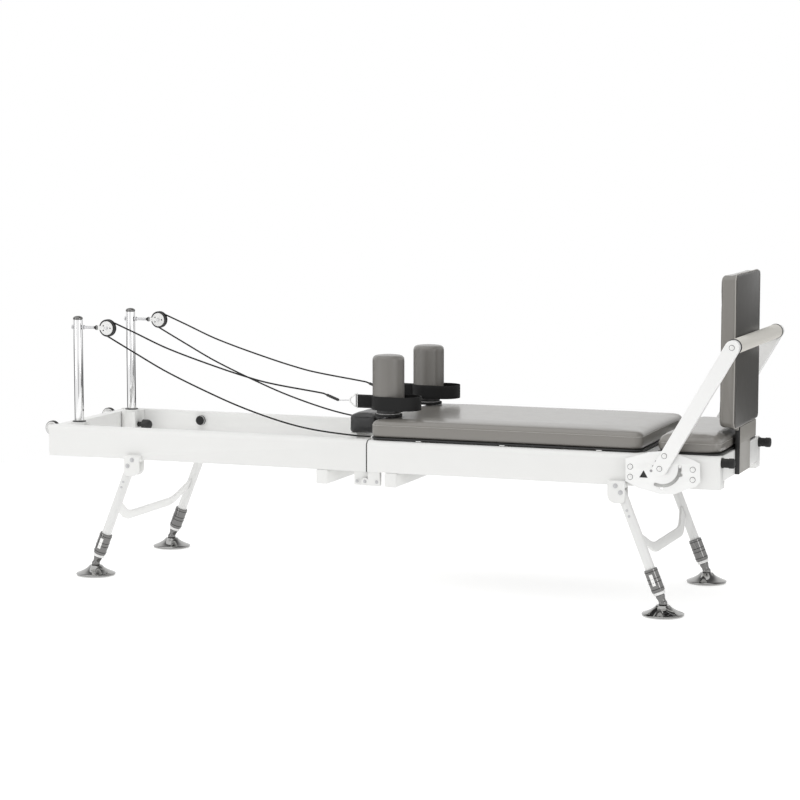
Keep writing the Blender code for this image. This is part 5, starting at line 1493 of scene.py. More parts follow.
@dataclass
class Legs:
    """A folding pair of legs with their brace, collars, levelling stems and foot discs."""

    paints: Paintbox
    end: End
    leg_y: float = 0.298
    radius: float = 0.016
    collar_radius: float = 0.0215
    collar_start: float = 0.2551
    ring_start: float = 0.3311
    leg_end: float = 0.3411
    reach: float = 0.3707
    tilt: float = math.radians(21.86)
    ring_radius: float = 0.019
    ball_radius: float = 0.014
    bend_y: float = 0.178
    bend_reach: float = 0.030
    band_levels: tuple[float, ...] = (0.008, 0.032, 0.044, 0.066)
    knee_levels: Pair = (-0.056, -0.076)
    bell: Profile = (
        (0.058, 0.0115),
        (0.047, 0.0162),
        (0.037, 0.0215),
        (0.0295, 0.0265),
        (0.0245, 0.0310),
        (0.0222, 0.0340),
        (0.0205, 0.0352),
        (0.0150, 0.0352),
        (0.0142, 0.0330),
        (0.010, 0.0295),
        (0.0, 0.0268),
    )

    def build(self) -> None:
        """Make both legs and the brace between them."""
        body = f"{self.end.label}_end_legs"
        node = f"{self.end.label}_end_leg_brace"
        brace = bare(node, f"{self.end.label}_leg_crosspiece")
        with editing(brace, "EDGE"):
            pick(brace, "edges", self._is_bend)
            bpy.ops.mesh.bevel(offset=self.bend_reach, segments=7, affect="EDGES")
        round_edges(brace, 0.0015)
        self.paints.dress(brace, WHITE_PAINT, body, node)
        for side in Side:
            self._tube(side, body)
            self._stem(side)
            self._disc(side)
            self._knee_bolts(side, body)

    def _is_bend(self, edge: Edge) -> bool:
        """Whether an edge runs through the brace's thickness at one of its bends.

        Args:
            edge: The edge.

        Returns:
            True for such an edge.
        """
        first, second = (vert.co for vert in edge.verts)
        through = abs(first.y - second.y) < 0.0005
        return through and abs(abs(first.y) - self.bend_y) < 0.012

    def _set(self, piece: Object, side: Side) -> Object:
        """Hang a piece that was made along Z on its leg's hinge.

        Args:
            piece: The piece, with the hinge at its origin.
            side: The leg's side.

        Returns:
            The piece, in its place.
        """
        hinge = joint_place(f"{self.end.label}_end_legs_fold")
        place = Vector((hinge.x, side.value * self.leg_y, hinge.z))
        return put(piece, place, "Z", -self.end.value * self.tilt)

    def _tube(self, side: Side, body: str) -> None:
        """A leg's tube, its dark collar with bands and a white patch that stands for a highlight, and its
        white ring.

        Args:
            side: The leg's side.
            body: The body that the leg belongs to.
        """
        name = f"{self.end.label}_leg_{side.label}"
        head = arc((0.0, 0.0), self.radius, 90.0, 0.0, 6)
        tube_profile = [(max(r, 0.0), h) for r, h in head] + [(self.radius, -self.collar_start - 0.01)]
        tube_profile += [(0.0, -self.collar_start - 0.01)]
        leg = self._set(turned(f"{name}_tube", tube_profile), side)
        self.paints.dress(leg, SHADED_WHITE_TUBE, body, f"{self.end.label}_end_leg_{side.label}")
        low, high = -self.ring_start, -self.collar_start
        collar = turned(f"{name}_collar", ring_profile(0.0165, self.collar_radius, low + GAP, high, 0.002))
        self.paints.dress(self._set(collar, side), DARK_CHROME, body)
        # Painted highlight: a white gloss patch on the collar's outer side stands for the bright highlight
        # there
        out = side.value * self.collar_radius
        corner = Vector((-0.0055, out - side.value * 0.0030, low + 0.022))
        opposite = Vector((0.0055, out + side.value * 0.0006, high - 0.016))
        window = block(f"{name}_collar_window", corner, opposite, 0.0005)
        self.paints.dress(self._set(window, side), WHITE_GLOSS, body)
        inner, outer = self.collar_radius - 0.001, self.collar_radius + 0.0007
        for number, drop in enumerate(self.band_levels):
            level = high - drop
            band = ring_profile(inner, outer, level - 0.0011, level + 0.0011, 0.0004)
            groove = turned(f"{name}_collar_band_{number + 1}", band, ring=True)
            self.paints.dress(self._set(groove, side), BLACK_PLASTIC, body)
        profile = ring_profile(0.0093, self.ring_radius, -self.leg_end, low, 0.0015)
        ring = turned(f"{name}_ring", profile, ring=True)
        self.paints.dress(self._set(ring, side), WHITE_PLASTIC, body)

    def _knee_bolts(self, side: Side, body: str) -> None:
        """Two small bolts through the top of a leg, below its bracket.

        Args:
            side: The leg's side.
            body: The body that the leg belongs to.
        """
        profile = disc_profile(0.0042, self.radius - 0.001, self.radius + 0.0014, 0.0008)
        for number, level in enumerate(self.knee_levels):
            head = turned(f"{self.end.label}_knee_bolt_{side.label}_{number + 1}", profile, 20)
            put(head, Vector(), "Y")
            if side is Side.NEAR:
                head.data.transform(Matrix.Rotation(math.pi, 4, "Z"))
            head.data.transform(Matrix.Translation((0.0, 0.0, level)))
            self.paints.dress(self._set(head, side), STEEL, body)

    def _stem(self, side: Side) -> None:
        """The levelling stem: a threaded shaft, a tapered neck and the ball.

        Args:
            side: The leg's side.
        """
        name = f"{self.end.label}_end_stem_{side.label}"
        top = -self.leg_end - GAP
        profile = [(0.0, top + 0.06), (0.0088, top + 0.06), (0.0088, top), (0.0140, top - 0.0002)]
        profile += [(0.0150, top - 0.0015), (0.0148, top - 0.006), (0.0120, top - 0.016)]
        meet = math.degrees(math.acos(0.0120 / self.ball_radius))
        profile += arc((0.0, -self.reach), self.ball_radius, meet, -90.0, 10)
        stem = self._set(turned(f"{name}_shank", profile, 40), side)
        self.paints.dress(stem, DARK_CHROME, name, name)

    def _disc(self, side: Side) -> None:
        """A foot disc: flat rim, bell, lip round the ball, and the pale sole under it.

        Args:
            side: The leg's side.
        """
        name = f"{self.end.label}_end_disc_{side.label}"
        low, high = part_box(name)
        centre = (low + high) / 2
        radius = (high.x - low.x) / 2
        profile = [(0.0, 0.004), (radius - 0.0015, 0.004), (radius, 0.0052), (radius, 0.0072)]
        profile += [(radius - 0.0018, 0.0088), *self.bell]
        disc = put(turned(f"{name}_bell", profile, 64), Vector((centre.x, centre.y, 0.0)))
        self.paints.dress(disc, SMOKED_CHROME, name, name)
        sole = turned(f"{name}_sole", disc_profile(radius - 0.0015, 0.0, 0.004, 0.0014), 64)
        self.paints.dress(put(sole, Vector((centre.x, centre.y, 0.0))), WHITE_PLASTIC, name)


@dataclass
class PulleyPost:
    """A chrome post with its cap, flange, clamp knob, stay rod, pulley block and sheave."""

    paints: Paintbox
    side: Side
    radius: float = 0.016
    base_z: float = 0.5116
    top_z: float = 0.8866
    low_z: float = 0.4406
    cap_radius: float = 0.0168
    cap_length: float = 0.013
    dome_height: float = 0.008
    pin_hole_z: float = 0.5586
    pin_hole_radius: float = 0.0045
    rod_back: float = 0.0235
    rod_radius: float = 0.005
    ball_radius: float = 0.0085
    nut_radius: float = 0.0085
    nut_length: float = 0.0062
    nut_places: Pair = (0.0010, 0.0410)
    flange_radius: float = 0.0235
    knob_length: float = 0.0445
    knob_radius: float = 0.0185
    sheave_radius: float = 0.030
    sheave_width: float = 0.014
    groove_radius: float = 0.0229
    bore: float = 0.0043
    cheek_radius: float = 0.0237
    cheek_thickness: float = 0.003
    cheek_holes: Profile = ((-0.012, 0.008), (-0.012, -0.008), (0.014, 0.0))
    hole_radius: float = 0.0027
    arm_length: float = 0.020
    arm_height: float = 0.014

    def build(self) -> None:
        """Make the post and everything that it carries."""
        knob = joint_place(f"post_knob_{self.side.label}_turn")
        self.x, self.y = knob.x, knob.y
        self._post()
        self._flange()
        self._knob(knob)
        self._block()

    def _place(self, z: float) -> Vector:
        """A point on the post's axis."""
        return Vector((self.x, self.y, z))

    def _post(self) -> None:
        """The chrome tube with its pin hole, its black cap, and the rod that carries the pulley."""
        label = self.side.label
        body = f"post_{label}"
        cap_low = self.top_z - self.cap_length
        post = turned(f"post_tube_{label}", disc_profile(self.radius, self.low_z, cap_low, 0.0008))
        hole = turned("pin_hole", [(self.pin_hole_radius, 0.006), (self.pin_hole_radius, 0.03)], 24)
        put(hole, Vector((0.0, 0.0, self.pin_hole_z)), "X")
        fuse(post, [hole], "DIFFERENCE")
        put(smooth(post), self._place(0.0))
        self.paints.dress(post, CHROME, body, f"post_{label}")
        dome_low = self.top_z - self.dome_height
        radius = self.cap_radius
        profile = [(0.0, cap_low + GAP), (radius - 0.001, cap_low + GAP), (radius, cap_low + 0.0013)]
        angles = np.linspace(0, 1.5, 7)
        profile += [(radius * math.cos(a), dome_low + self.dome_height * math.sin(a)) for a in angles]
        cap = put(turned(f"post_cap_{label}", profile + [(0.0, self.top_z)]), self._place(0.0))
        self.paints.dress(cap, DARK_CHROME, body)
        pulley = joint_place(f"sheave_{label}_spin")
        swivel = joint_place(f"pulley_{label}_swivel")
        start, end = self.x - self.rod_back, swivel.x - self.ball_radius - 0.0004
        rod = turned(f"post_rod_{label}", disc_profile(self.rod_radius, 0.0, end - start, 0.0006), 24)
        put(rod, Vector((start, self.y, pulley.z)), "X")
        self.paints.dress(rod, STEEL, body)
        nut_profile = disc_profile(self.nut_radius, 0.0, self.nut_length, 0.0008)
        for number, offset in enumerate(self.nut_places):
            nut = turned(f"post_nut_{label}_{number + 1}", nut_profile, 6)
            put(nut, Vector((start + offset, self.y, pulley.z)), "X")
            self.paints.dress(nut, STEEL, body)

    def _flange(self) -> None:
        """The black flange round the post's foot, and the stop buffer on the rail."""
        label = self.side.label
        rim = self.base_z + 0.0058
        profile = ring_profile(self.radius + GAP, self.flange_radius, rim, rim + 0.0035, 0.0010)
        flange = put(turned(f"post_flange_{label}", profile, ring=True), self._place(0.0))
        self.paints.dress(flange, BLACK_PLASTIC, "pulley_frame")
        buffer = turned(f"stop_buffer_{label}", disc_profile(0.0183, 0.0, 0.0124, 0.003))
        if self.side is Side.FAR:
            buffer.data.transform(Matrix.Rotation(math.pi, 4, "X"))
        put(buffer, Vector(), "Y")
        buffer.data.transform(Matrix.Translation(at(-0.857, self.side.value * 0.251, 0.482)))
        self.paints.dress(buffer, BLACK_RUBBER, "pulley_frame")

    def _knob(self, place: Vector) -> None:
        """The domed clamp knob on its screw.

        Args:
            place: The point on the post's axis.
        """
        label = self.side.label
        tip = self.radius + GAP
        base = 0.026 + 0.0105
        end = base + self.knob_length
        profile = [(0.0, tip), (0.0048, tip), (0.0048, 0.0264), (0.009, 0.0264), (0.009, base)]
        profile += [(0.009, base + 0.008), (self.knob_radius - 0.002, base + 0.008)]
        profile += [(self.knob_radius, base + 0.010)]
        dome = arc((end - self.knob_radius, 0.0), self.knob_radius, 90.0, 4.0, 10)
        profile += [(radius, reach) for reach, radius in dome] + [(0.0, end)]
        knob = put(turned(f"clamp_knob_{label}", profile), place, "X")
        self.paints.dress(knob, BLACK_PLASTIC, f"post_knob_{label}", f"post_knob_{label}")

    def _cheek(self) -> Object:
        """Model a cheek's disc with its three holes.

        Returns:
            The disc, at the origin.
        """
        half = self.cheek_thickness / 2
        cheek = turned("cheek_pattern", disc_profile(self.cheek_radius, -half, half, 0.0008))
        holes = []
        for x, y in self.cheek_holes:
            hole = turned("cheek_hole", [(self.hole_radius, -0.01), (self.hole_radius, 0.01)], 16)
            holes.append(put(hole, Vector((x, y, 0.0))))
        return smooth(fuse(cheek, holes, "DIFFERENCE"))

    def _block(self) -> None:
        """The pulley block's cheeks, bridge, axle and ball, and the sheave between them."""
        label = self.side.label
        centre = joint_place(f"sheave_{label}_spin")
        swivel = joint_place(f"pulley_{label}_swivel")
        body = f"pulley_block_{label}"
        inner = self.sheave_width / 2 + 0.0005
        outer = inner + self.cheek_thickness
        back = centre.x - self.sheave_radius - 0.0075
        for number, way in enumerate((-1, 1)):
            name = f"pulley_cheek_{label}_{number + 1}"
            cheek = shelf.copy(name, ("cheek",), self._cheek)
            put(cheek, centre + along((inner + outer) / 2 * way), "Y")
            arm_low = Vector((back + 0.001, centre.y + way * inner, centre.z - self.arm_height / 2))
            arm_high = arm_low + Vector((self.arm_length, way * self.cheek_thickness, self.arm_height))
            arm = block(f"{name}_arm", arm_low, arm_high, 0.0006)
            self.paints.dress(fuse(cheek, [arm]), WHITE_PLASTIC, body, f"pulley_block_{label}")
            profile = disc_profile(0.0055, 0.0, 0.0015, 0.0007)
            bolt = turned(f"pulley_axle_head_{label}_{number + 1}", profile, 24)
            flip = Matrix.Identity(4) if way > 0 else Matrix.Rotation(math.pi, 4, "X")
            bolt.data.transform(Matrix.Translation(centre + along(way * outer)) @ flip @ AXES["Y"])
            self.paints.dress(bolt, STEEL, body)
        bridge = block(
            f"pulley_bridge_{label}",
            Vector((back, centre.y - outer, centre.z - 0.0072)),
            Vector((back + 0.005, centre.y + outer, centre.z + 0.0072)),
            0.0008,
        )
        self.paints.dress(bridge, WHITE_PLASTIC, body)
        ball_profile = arc((0.0, 0.0), self.ball_radius, -90.0, 90.0, 14)
        ball = put(turned(f"pulley_ball_{label}", ball_profile, 32), swivel, "X")
        self.paints.dress(ball, BLACK_PLASTIC, body)
        half = self.sheave_width / 2
        groove = arc((self.groove_radius + 0.0040, 0.0), 0.0040, 235.0, 125.0, 6)
        rim = self.sheave_radius
        bore, edge, lip = self.bore, 0.0008, 0.002
        profile = [(bore, -half), (rim - edge, -half), (rim, edge - half), (rim, lip - half), *groove]
        profile += [(rim, half - lip), (rim, half - edge), (rim - edge, half), (bore, half)]
        sheave = put(turned(f"sheave_{label}", profile, ring=True), centre, "Y")
        self.paints.dress(sheave, BLACK_PLASTIC, f"pulley_sheave_{label}", f"pulley_sheave_{label}")


@dataclass
class Rollers:
    """The transport wheels, the carriage's wheels and the end bumpers."""

    paints: Paintbox
    wheel_face: Profile = (
        (0.0043, 0.0095),
        (0.008, 0.0098),
        (0.0095, 0.0075),
        (0.0185, 0.0075),
        (0.0200, 0.0095),
        (0.0222, 0.0095),
    )

    def build(self) -> None:
        """Make every wheel and bumper."""
        for side in Side:
            self._transport_wheel(side)
            self._bumper(side)
            for number in (1, 2):
                self._carriage_wheel(f"carriage_wheel_{side.label}_{number}")

    def _transport_wheel(self, side: Side) -> None:
        """A white wheel disc with a thin black tyre and a hub.

        Args:
            side: The wheel's side.
        """
        node = f"transport_wheel_{side.label}"
        place = joint_place(f"{node}_spin")
        face = [(radius, half) for radius, half in self.wheel_face]
        profile = [(radius, -half) for radius, half in face] + face[::-1]
        wheel = put(turned(f"{node}_disc", profile, ring=True), place, "Y")
        self.paints.dress(wheel, WHITE_PLASTIC, node, node)
        tyre = turned(f"{node}_tyre", ring_profile(0.0221, 0.0247, -0.0085, 0.0085, 0.0020), ring=True)
        self.paints.dress(put(tyre, place, "Y"), BLACK_RUBBER, node)

    def _carriage_wheel(self, node: str) -> None:
        """A dark roller with a steel bearing in its middle.

        Args:
            node: The wheel's CAD node.
        """
        place = joint_place(f"{node}_spin")
        rim = turned(f"{node}_rim", ring_profile(0.0105, 0.0199, -0.0077, 0.0077, 0.0025), ring=True)
        self.paints.dress(put(rim, place, "Y"), BLACK_PLASTIC, node, node)
        race = turned(f"{node}_bearing", ring_profile(0.0043, 0.0104, -0.0070, 0.0070, 0.0006), ring=True)
        self.paints.dress(put(race, place, "Y"), STEEL, node)

    def _bumper(self, side: Side) -> None:
        """A rubber bumper with a waist and a rounded face, on the rail's end.

        Args:
            side: The rail's side.
        """
        node = f"end_bumper_{side.label}"
        low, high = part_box(node)
        length = high.x - low.x
        radius = (high.z - low.z) / 2
        waist, shoulder = radius - 0.0015, length * 0.55
        profile = [(0.0, 0.0), (radius, 0.0), (radius, 0.006), (waist, 0.0075), (waist, shoulder)]
        profile += [(radius, shoulder + 0.0015)]
        profile += arc((radius - 0.0045, length - 0.0045), 0.0045, 0.0, 90.0, 5) + [(0.0, length)]
        bumper = turned(f"{node}_rubber", profile, 40)
        put(bumper, Vector((low.x, (low.y + high.y) / 2, (low.z + high.z) / 2)), "X")
        self.paints.dress(bumper, BLACK_RUBBER, "foot_frame", node)


@dataclass
class Strap:
    """A webbing loop round a shoulder rest, with its doubled tail, ring, link and rope clamp."""

    paints: Paintbox
    side: Side
    rest_x: float = 0.038
    rest_y: float = 0.196
    inner: float = 0.054
    slack: float = 0.0565
    height: float = 0.0455
    thickness: float = 0.002
    bottom: float = 0.6073
    tail_end: float = -0.078
    hem: float = 0.004
    stitch_end: float = -0.020
    ring_x: float = -0.073
    ring_tip: float = -0.099
    ring_z: float = 0.6320
    ring_half: float = 0.0255
    ring_tip_half: float = 0.006
    ring_bar: float = 0.0027
    link_end: float = -0.1388
    link_z: float = 0.63005
    clamp_end: Pair = (-0.1828, 0.64655)

    def build(self) -> None:
        """Make the loop, the tail, the ring, the link and the clamp."""
        self.y = self.side.value * self.rest_y
        self._loop()
        self._tail()
        self._ring()
        self._link()

    def _loop(self) -> None:
        """The loop: a ring of webbing pulled out past the rest, with rolled edges."""
        label = self.side.label
        radius = self.inner + self.thickness / 2
        deselect_all()
        bpy.ops.mesh.primitive_circle_add(vertices=96, radius=radius, fill_type="NOTHING")
        loop = named(f"strap_loop_{label}")
        with editing(loop):
            pick(loop, "verts", lambda vert: vert.co.x > -GAP)
            bpy.ops.transform.translate(value=(self.slack, 0.0, 0.0))
            bpy.ops.mesh.select_all(action="SELECT")
            rise = {"value": (0.0, 0.0, self.height / 4)}
            for _ in range(4):
                bpy.ops.mesh.extrude_region_move(TRANSFORM_OT_translate=rise)
        self._map(loop, radius)
        wall = loop.modifiers.new("wall", "SOLIDIFY")
        wall.thickness = self.thickness
        wall.offset = 0.0
        apply_modifiers(loop)
        round_edges(loop, 0.0005, 2, 60.0)
        with editing(loop):
            bpy.ops.mesh.normals_make_consistent(inside=False)
        put(loop, at(self.rest_x, self.y, self.bottom))
        self.paints.dress(loop, BLACK_WEBBING, "carriage", f"foot_strap_{label}")

    def _map(self, loop: Object, radius: float) -> None:
        """Give the webbing a UV map in metres: along the loop and up its width.

        Args:
            loop: The loop, at the origin.
            radius: The radius of its round ends.
        """
        layer = loop.data.uv_layers.new(name="webbing")
        for corner, spot in zip(loop.data.loops, layer.data):
            x, y, z = loop.data.vertices[corner.vertex_index].co
            turn = math.atan2(y, x - (self.slack if x > self.slack / 2 else 0.0))
            run = radius * turn + math.copysign(x if abs(y) > radius * 0.9 else 0.0, -y)
            spot.uv = (run, z)

    def _tail(self) -> None:
        """The doubled tail, stitched, from the loop to the ring."""
        label = self.side.label
        inset = 0.0005
        start = at(self.tail_end, self.y - self.thickness, self.bottom + inset)
        top = self.bottom + self.height - inset
        end = at(self.rest_x - self.inner - inset, self.y + self.thickness, top)
        tail = block(f"strap_tail_{label}", start, end, 0.0008)
        layer = tail.data.uv_layers[0] if tail.data.uv_layers else tail.data.uv_layers.new(name="webbing")
        for corner, spot in zip(tail.data.loops, layer.data):
            place = tail.data.vertices[corner.vertex_index].co
            spot.uv = (place.x, place.z)
        self.paints.dress(tail, BLACK_WEBBING, "carriage")
        stations = np.linspace(self.tail_end + self.hem, self.stitch_end, 24)
        for level, z in (("low", self.hem), ("high", self.height - self.hem)):
            for face, way in (("inner", -1), ("outer", 1)):
                line_y = self.y + way * (self.thickness + 0.0001)
                line = [at(x, line_y, self.bottom + z) for x in stations]
                row = tube(f"strap_stitch_{label}_{level}_{face}", line, 0.0004, sides=1)
                self.paints.dress(row, STITCH, "carriage")

    def _ring(self) -> None:
        """The white triangular ring that the tail is sewn round."""
        wide, slim = self.ring_half, self.ring_tip_half
        corners = ((self.ring_x, wide), (self.ring_tip, slim), (self.ring_tip, -slim), (self.ring_x, -wide))
        points = []
        for index, corner in enumerate(corners):
            here = Vector(corner)
            for other in (Vector(corners[index - 1]), Vector(corners[(index + 1) % 4])):
                reach = min(0.003, (other - here).length / 3)
                points.append(here + (other - here).normalized() * reach)
        path = [Vector((FOLD_X + x, self.y, self.ring_z + z)) for x, z in points]
        ring = tube(f"strap_ring_{self.side.label}", path, self.ring_bar, closed=True)
        self.paints.dress(ring, WHITE_GLOSS, "carriage")

    def _link(self) -> None:
        """The thin steel link and the dark clamp that holds the rope."""
        label = self.side.label
        start = at(self.ring_tip + 0.0022, self.y, self.ring_z)
        end = at(self.link_end, self.y, self.link_z)
        link = tube(f"strap_link_{label}", [start, start.lerp(end, 0.5), end], 0.0016)
        self.paints.dress(link, STEEL, "carriage")
        finish = at(self.clamp_end[0], self.y, self.clamp_end[1])
        axis = finish - end
        profile = [(0.0, 0.0), (0.0032, 0.0), (0.0045, 0.0025)]
        for number in range(5):
            low = 0.006 + number * 0.0065
            profile += [(0.0050, low), (0.0050, low + 0.0035)]
            profile += [(0.0044, low + 0.0045), (0.0044, low + 0.0055)]
        profile += [(0.0050, axis.length - 0.003), (0.0038, axis.length), (0.0, axis.length)]
        clamp = turned(f"rope_clamp_{label}", profile, 32)
        clamp.data.transform(Matrix.Translation(end) @ axis.to_track_quat("Z", "Y").to_matrix().to_4x4())
        self.paints.dress(clamp, BLACK_PLASTIC, "carriage")


@dataclass
class ShoulderRest:
    """A round padded shoulder rest on its black foot and base plate, with its pin."""

    paints: Paintbox
    side: Side
    radius: float = 0.0535
    foot_radius: float = 0.039
    foot_height: float = 0.023
    plate_height: float = 0.0078
    ring_height: float = 0.0026
    plate_radius: float = 0.046
    base_z: float = 0.5843
    pin_radius: float = 0.010
    pin_length: float = 0.086

    def build(self) -> None:
        """Make the pad, the foot, the plate and the pin."""
        label = self.side.label
        node = f"shoulder_rest_{label}"
        low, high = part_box(node)
        centre = (low + high) / 2
        place = Vector((centre.x, centre.y, 0.0))
        foot_top = self.base_z + self.foot_height
        radius, base = self.radius, foot_top + GAP
        profile = [(0.0, base), (radius - 0.005, base), (radius - 0.001, foot_top + 0.004)]
        profile += [(radius - 0.0005, foot_top + 0.02), (radius - 0.0005, high.z - 0.018)]
        profile += arc((radius - 0.0140, high.z - 0.0165), 0.0135, 5.0, 85.0, 6)
        profile += [(0.020, high.z - 0.0008), (0.0, high.z)]
        pad = turned(f"{node}_pad", profile, 64)
        pad.data.remesh_voxel_size = 0.004
        take(pad)
        bpy.ops.object.voxel_remesh()
        with editing(pad):
            bpy.ops.mesh.vertices_smooth(factor=0.5, repeat=6)
            bpy.ops.mesh.subdivide(smoothness=1.0)
        self.paints.dress(smooth(put(pad, place), 180.0), REST_VINYL, node, node)
        ring_low = self.base_z + self.plate_height
        ring_high = ring_low + self.ring_height
        foot = turned(f"{node}_foot", disc_profile(self.foot_radius, ring_high, foot_top, 0.0015))
        self.paints.dress(put(foot, place), BLACK_PLASTIC, node)
        ring = turned(f"{node}_ring", disc_profile(self.foot_radius + 0.001, ring_low, ring_high, 0.0008))
        self.paints.dress(put(ring, place), WHITE_PLASTIC, node)
        plate = turned(f"{node}_plate", disc_profile(self.plate_radius, self.base_z, ring_low, 0.0010))
        self.paints.dress(put(plate, place), BLACK_RUBBER, node)
        pin_low = self.base_z - self.pin_length
        pin = turned(f"{node}_pin", disc_profile(self.pin_radius, pin_low, self.base_z + 0.001, 0.0015))
        self.paints.dress(put(pin, place), STEEL, node)


@dataclass
class Springs:
    """The coil springs between the carriage and the spring bar."""

    paints: Paintbox
    wire_radius: float = 0.0012
    pitch: float = 0.0042
    steps: int = 12

    def build(self) -> None:
        """Make each spring as a coil of wire along its CAD solid."""
        for number in (1, 2, 3):
            node = f"spring_{number}"
            low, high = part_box(node)
            radius = (high.z - low.z) / 2 - self.wire_radius
            centre = (low + high) / 2
            span = high.x - low.x - 2 * self.wire_radius
            turns = round(span / self.pitch)
            points = []
            for step in range(turns * self.steps + 1):
                share = step / (turns * self.steps)
                angle = math.tau * turns * share
                x = low.x + self.wire_radius + span * share
                y = centre.y + radius * math.cos(angle)
                points.append(Vector((x, y, centre.z + radius * math.sin(angle))))
            coil = tube(f"{node}_coil", points, self.wire_radius, sides=1)
            coil.data.materials.clear()
            coil.data.materials.append(self.paints.get(STEEL))
            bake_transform(coil)
            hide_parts(node)
            log.info("%s has %d turns", coil.name, turns)


@dataclass
class Footbar:
    """The footbar: hinge plates, arms with their bolts, and the padded grip."""

    paints: Paintbox
    grip_radius: float = 0.0235
    small_head: float = 0.005
    plate_face_y: float = 0.3155
    arm_face_y: float = 0.347
    window_y: float = 0.3085
    plate_bolts: Profile = ((-0.102, -0.002), (-0.102, -0.0345), (0.099, -0.002), (0.099, -0.034))
    arm_bolts: Profile = ((0.0, 0.0), (0.015, 0.041), (0.2235, 0.386))
    screw_row: Profile = ((-0.0345, -0.012), (-0.0265, 0.003), (-0.0185, 0.018))
    window: Pair = (-0.059, -0.027)

    def build(self) -> None:
        """Make the plates, the arms and the grip."""
        for side in Side:
            self._side(side)
        self._grip()

    def _head(self, name: str, place: Vector, side: Side, radius: float, height: float, body: str) -> None:
        """A low domed bolt head on a face that looks out of the side.

        Args:
            name: The bolt's name.
            place: The middle of its seat.
            side: The side that it looks out of.
            radius: The head's radius.
            height: The head's height.
            body: The body that it rides on.
        """
        head = BoltHead(radius, height, 28, 0.7, 0.42, 0.25).copy(name)
        washer = turned(f"{name}_washer", disc_profile(radius + 0.0014, 0.0, 0.0008, 0.0003), 28)
        flip = Matrix.Identity(4) if side is Side.FAR else Matrix.Rotation(math.pi, 4, "X")
        change = Matrix.Translation(place) @ flip @ AXES["Y"]
        head_finish = STEEL if radius < self.small_head else WHITE_GLOSS
        for piece, finish in ((head, head_finish), (washer, DARK_CHROME)):
            piece.data.transform(change)
            self.paints.dress(piece, finish, body)

    def _side(self, side: Side) -> None:
        """One side's plate and arm with their bolts.

        Args:
            side: The side.
        """
        label = side.label
        pivot = joint_place("footbar_swing")
        plate_node, arm_node = f"footbar_plate_{label}", f"footbar_arm_{label}"
        plate = refined(plate_node, f"hinge_plate_{label}", 0.0008)
        self.paints.dress(plate, WHITE_GLOSS, "foot_frame", plate_node)
        arm = refined(arm_node, f"swing_arm_{label}", 0.002, 3)
        self.paints.dress(arm, WHITE_GLOSS, "footbar", arm_node)
        plate_face = side.value * self.plate_face_y
        arm_face = side.value * self.arm_face_y
        for number, (x, z) in enumerate(self.plate_bolts):
            place = Vector((pivot.x + x, plate_face, pivot.z + z))
            self._head(f"plate_bolt_{label}_{number + 1}", place, side, 0.0078, 0.0028, "foot_frame")
        for number, (x, z) in enumerate(self.arm_bolts):
            place = Vector((pivot.x + x, arm_face, pivot.z + z))
            self._head(f"arm_bolt_{label}_{number + 1}", place, side, 0.0075, 0.0022, "footbar")
        for number, (x, z) in enumerate(self.screw_row):
            place = Vector((pivot.x + x, plate_face, pivot.z + z))
            self._head(f"plate_screw_{label}_{number + 1}", place, side, 0.0026, 0.0012, "foot_frame")
        # Painted shade: a black disc behind the plate's window stands for the shade inside the hole
        window = Vector((pivot.x + self.window[0], side.value * self.window_y, pivot.z + self.window[1]))
        window_shadow_disc = turned(f"plate_window_{label}", disc_profile(0.0185, -0.001, 0.001, 0.0004), 32)
        self.paints.dress(put(window_shadow_disc, window, "Y"), BLACK_PLASTIC, "foot_frame")

    def _grip(self) -> None:
        """The foam sleeve between the arms, with a black ring at each end."""
        low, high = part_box("footbar_grip")
        centre = (low + high) / 2
        half = (high.y - low.y) / 2
        sleeve = turned("grip_sleeve", disc_profile(self.grip_radius, -half + 0.0045, half - 0.0045, 0.004))
        self.paints.dress(put(sleeve, centre, "Y"), BEIGE_FOAM, "footbar", "footbar_grip")
        for number, way in enumerate((-1, 1)):
            start = way * (half - 0.0048)
            stop = way * (half + 0.0006)
            profile = disc_profile(self.grip_radius + 0.0012, min(start, stop), max(start, stop), 0.0010)
            ring = put(turned(f"grip_end_ring_{number + 1}", profile), centre, "Y")
            self.paints.dress(ring, BLACK_PLASTIC, "footbar")


@dataclass
class Carriage:
    """The carriage's frame, pads, rests and straps."""

    paints: Paintbox

    def build(self) -> None:
        """Dress the carriage frame and make its soft parts."""
        chassis = refined("carriage_frame", "carriage_chassis", 0.0008)
        self.paints.dress(chassis, WHITE_PAINT, "carriage", "carriage_frame")
        Cushion(
            "carriage_cushion",
            "carriage_pad",
            GREY_VINYL,
            "carriage",
            corner=0.030,
            edge=0.019,
            crown=0.006,
            voxel=0.006,
            cap=0.003,
            seam_at_top=0.021,
            seam_radius=0.0009,
            board=0.005,
        ).build(self.paints)
        Cushion(
            "headrest_cushion",
            "headrest_pad",
            BLACK_VINYL,
            "headrest",
            corner=0.020,
            edge=0.012,
            crown=0.004,
            lean=0.016,
            voxel=0.004,
            seam_at_top=0.010,
            seam_radius=0.0011,
        ).build(self.paints)
        for side in Side:
            ShoulderRest(self.paints, side).build()
            Strap(self.paints, side).build()


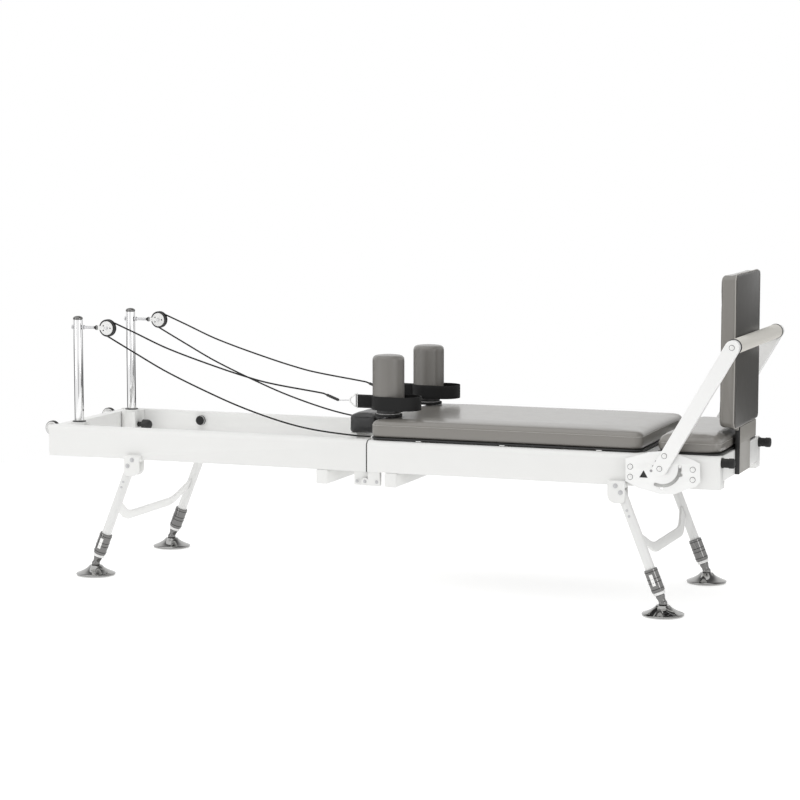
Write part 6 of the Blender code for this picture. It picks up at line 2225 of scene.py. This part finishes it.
@dataclass
class FootEnd:
    """The fixed pad, the spring bar, the jump board and its bracket."""

    paints: Paintbox

    def build(self) -> None:
        """Make the fixed pad and the jump board with their fittings."""
        bar = refined("spring_bar", "spring_rail", 0.001)
        self.paints.dress(bar, STEEL, "foot_frame", "spring_bar")
        Cushion(
            "fixed_cushion",
            "fixed_pad",
            GREY_VINYL,
            "foot_frame",
            corner=0.036,
            edge=0.026,
            crown=0.008,
            voxel=0.005,
            cap=0.004,
            seam_at_top=0.028,
            seam_radius=0.0009,
            board=0.005,
        ).build(self.paints)
        bracket = refined("jump_board_bracket", "board_bracket", 0.001)
        self.paints.dress(bracket, BEIGE_PAINT, "jump_board", "jump_board_bracket")
        jump = Cushion(
            "jump_cushion",
            "jump_board_pad",
            GREY_VINYL,
            "jump_board",
            corner=0.022,
            edge=0.010,
            crown=0.003,
            upright=True,
            voxel=0.005,
            cap=0.003,
            seam_at_top=0.0525,
            seam_radius=0.0022,
        )
        jump.build(self.paints)
        panel = jump.slab("jump_board_panel", 0.0045, -0.0012, 0.004)
        self.paints.dress(panel, CHARCOAL_VINYL, "jump_board")
        # Painted shadow: a black strip down the bracket's near side
        self._bracket_trim()

    def _bracket_trim(self) -> None:
        """A black strip down the near side of the jump board's bracket, which stands for the shadow on that
        side: painted shadow.
        """
        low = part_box("jump_board_bracket")[0]
        strip_high = Vector((low.x + 0.0145, low.y + 0.0172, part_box("jump_board_pad")[0].z - 0.001))
        strip = block("bracket_trim", Vector((low.x, low.y + 0.0140, low.z)), strip_high, 0.0004)
        self.paints.dress(strip, BLACK_PLASTIC, "jump_board")


def main() -> None:
    """Build the studio, the cords and every piece, in order."""
    logging.basicConfig(level=logging.INFO, format="%(message)s")
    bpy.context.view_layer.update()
    Studio().build()
    paints = Paintbox()
    Ropes(paints).build()
    for end in End:
        FrameHalf(paints, end).build()
        Legs(paints, end).build()
    for side in Side:
        PulleyPost(paints, side).build()
    Rollers(paints).build()
    Springs(paints).build()
    Footbar(paints).build()
    FootEnd(paints).build()
    Carriage(paints).build()
    shelf.clear()
    deselect_all()
    log.info("all pieces are in place")


if __name__ == "__main__":
    main()
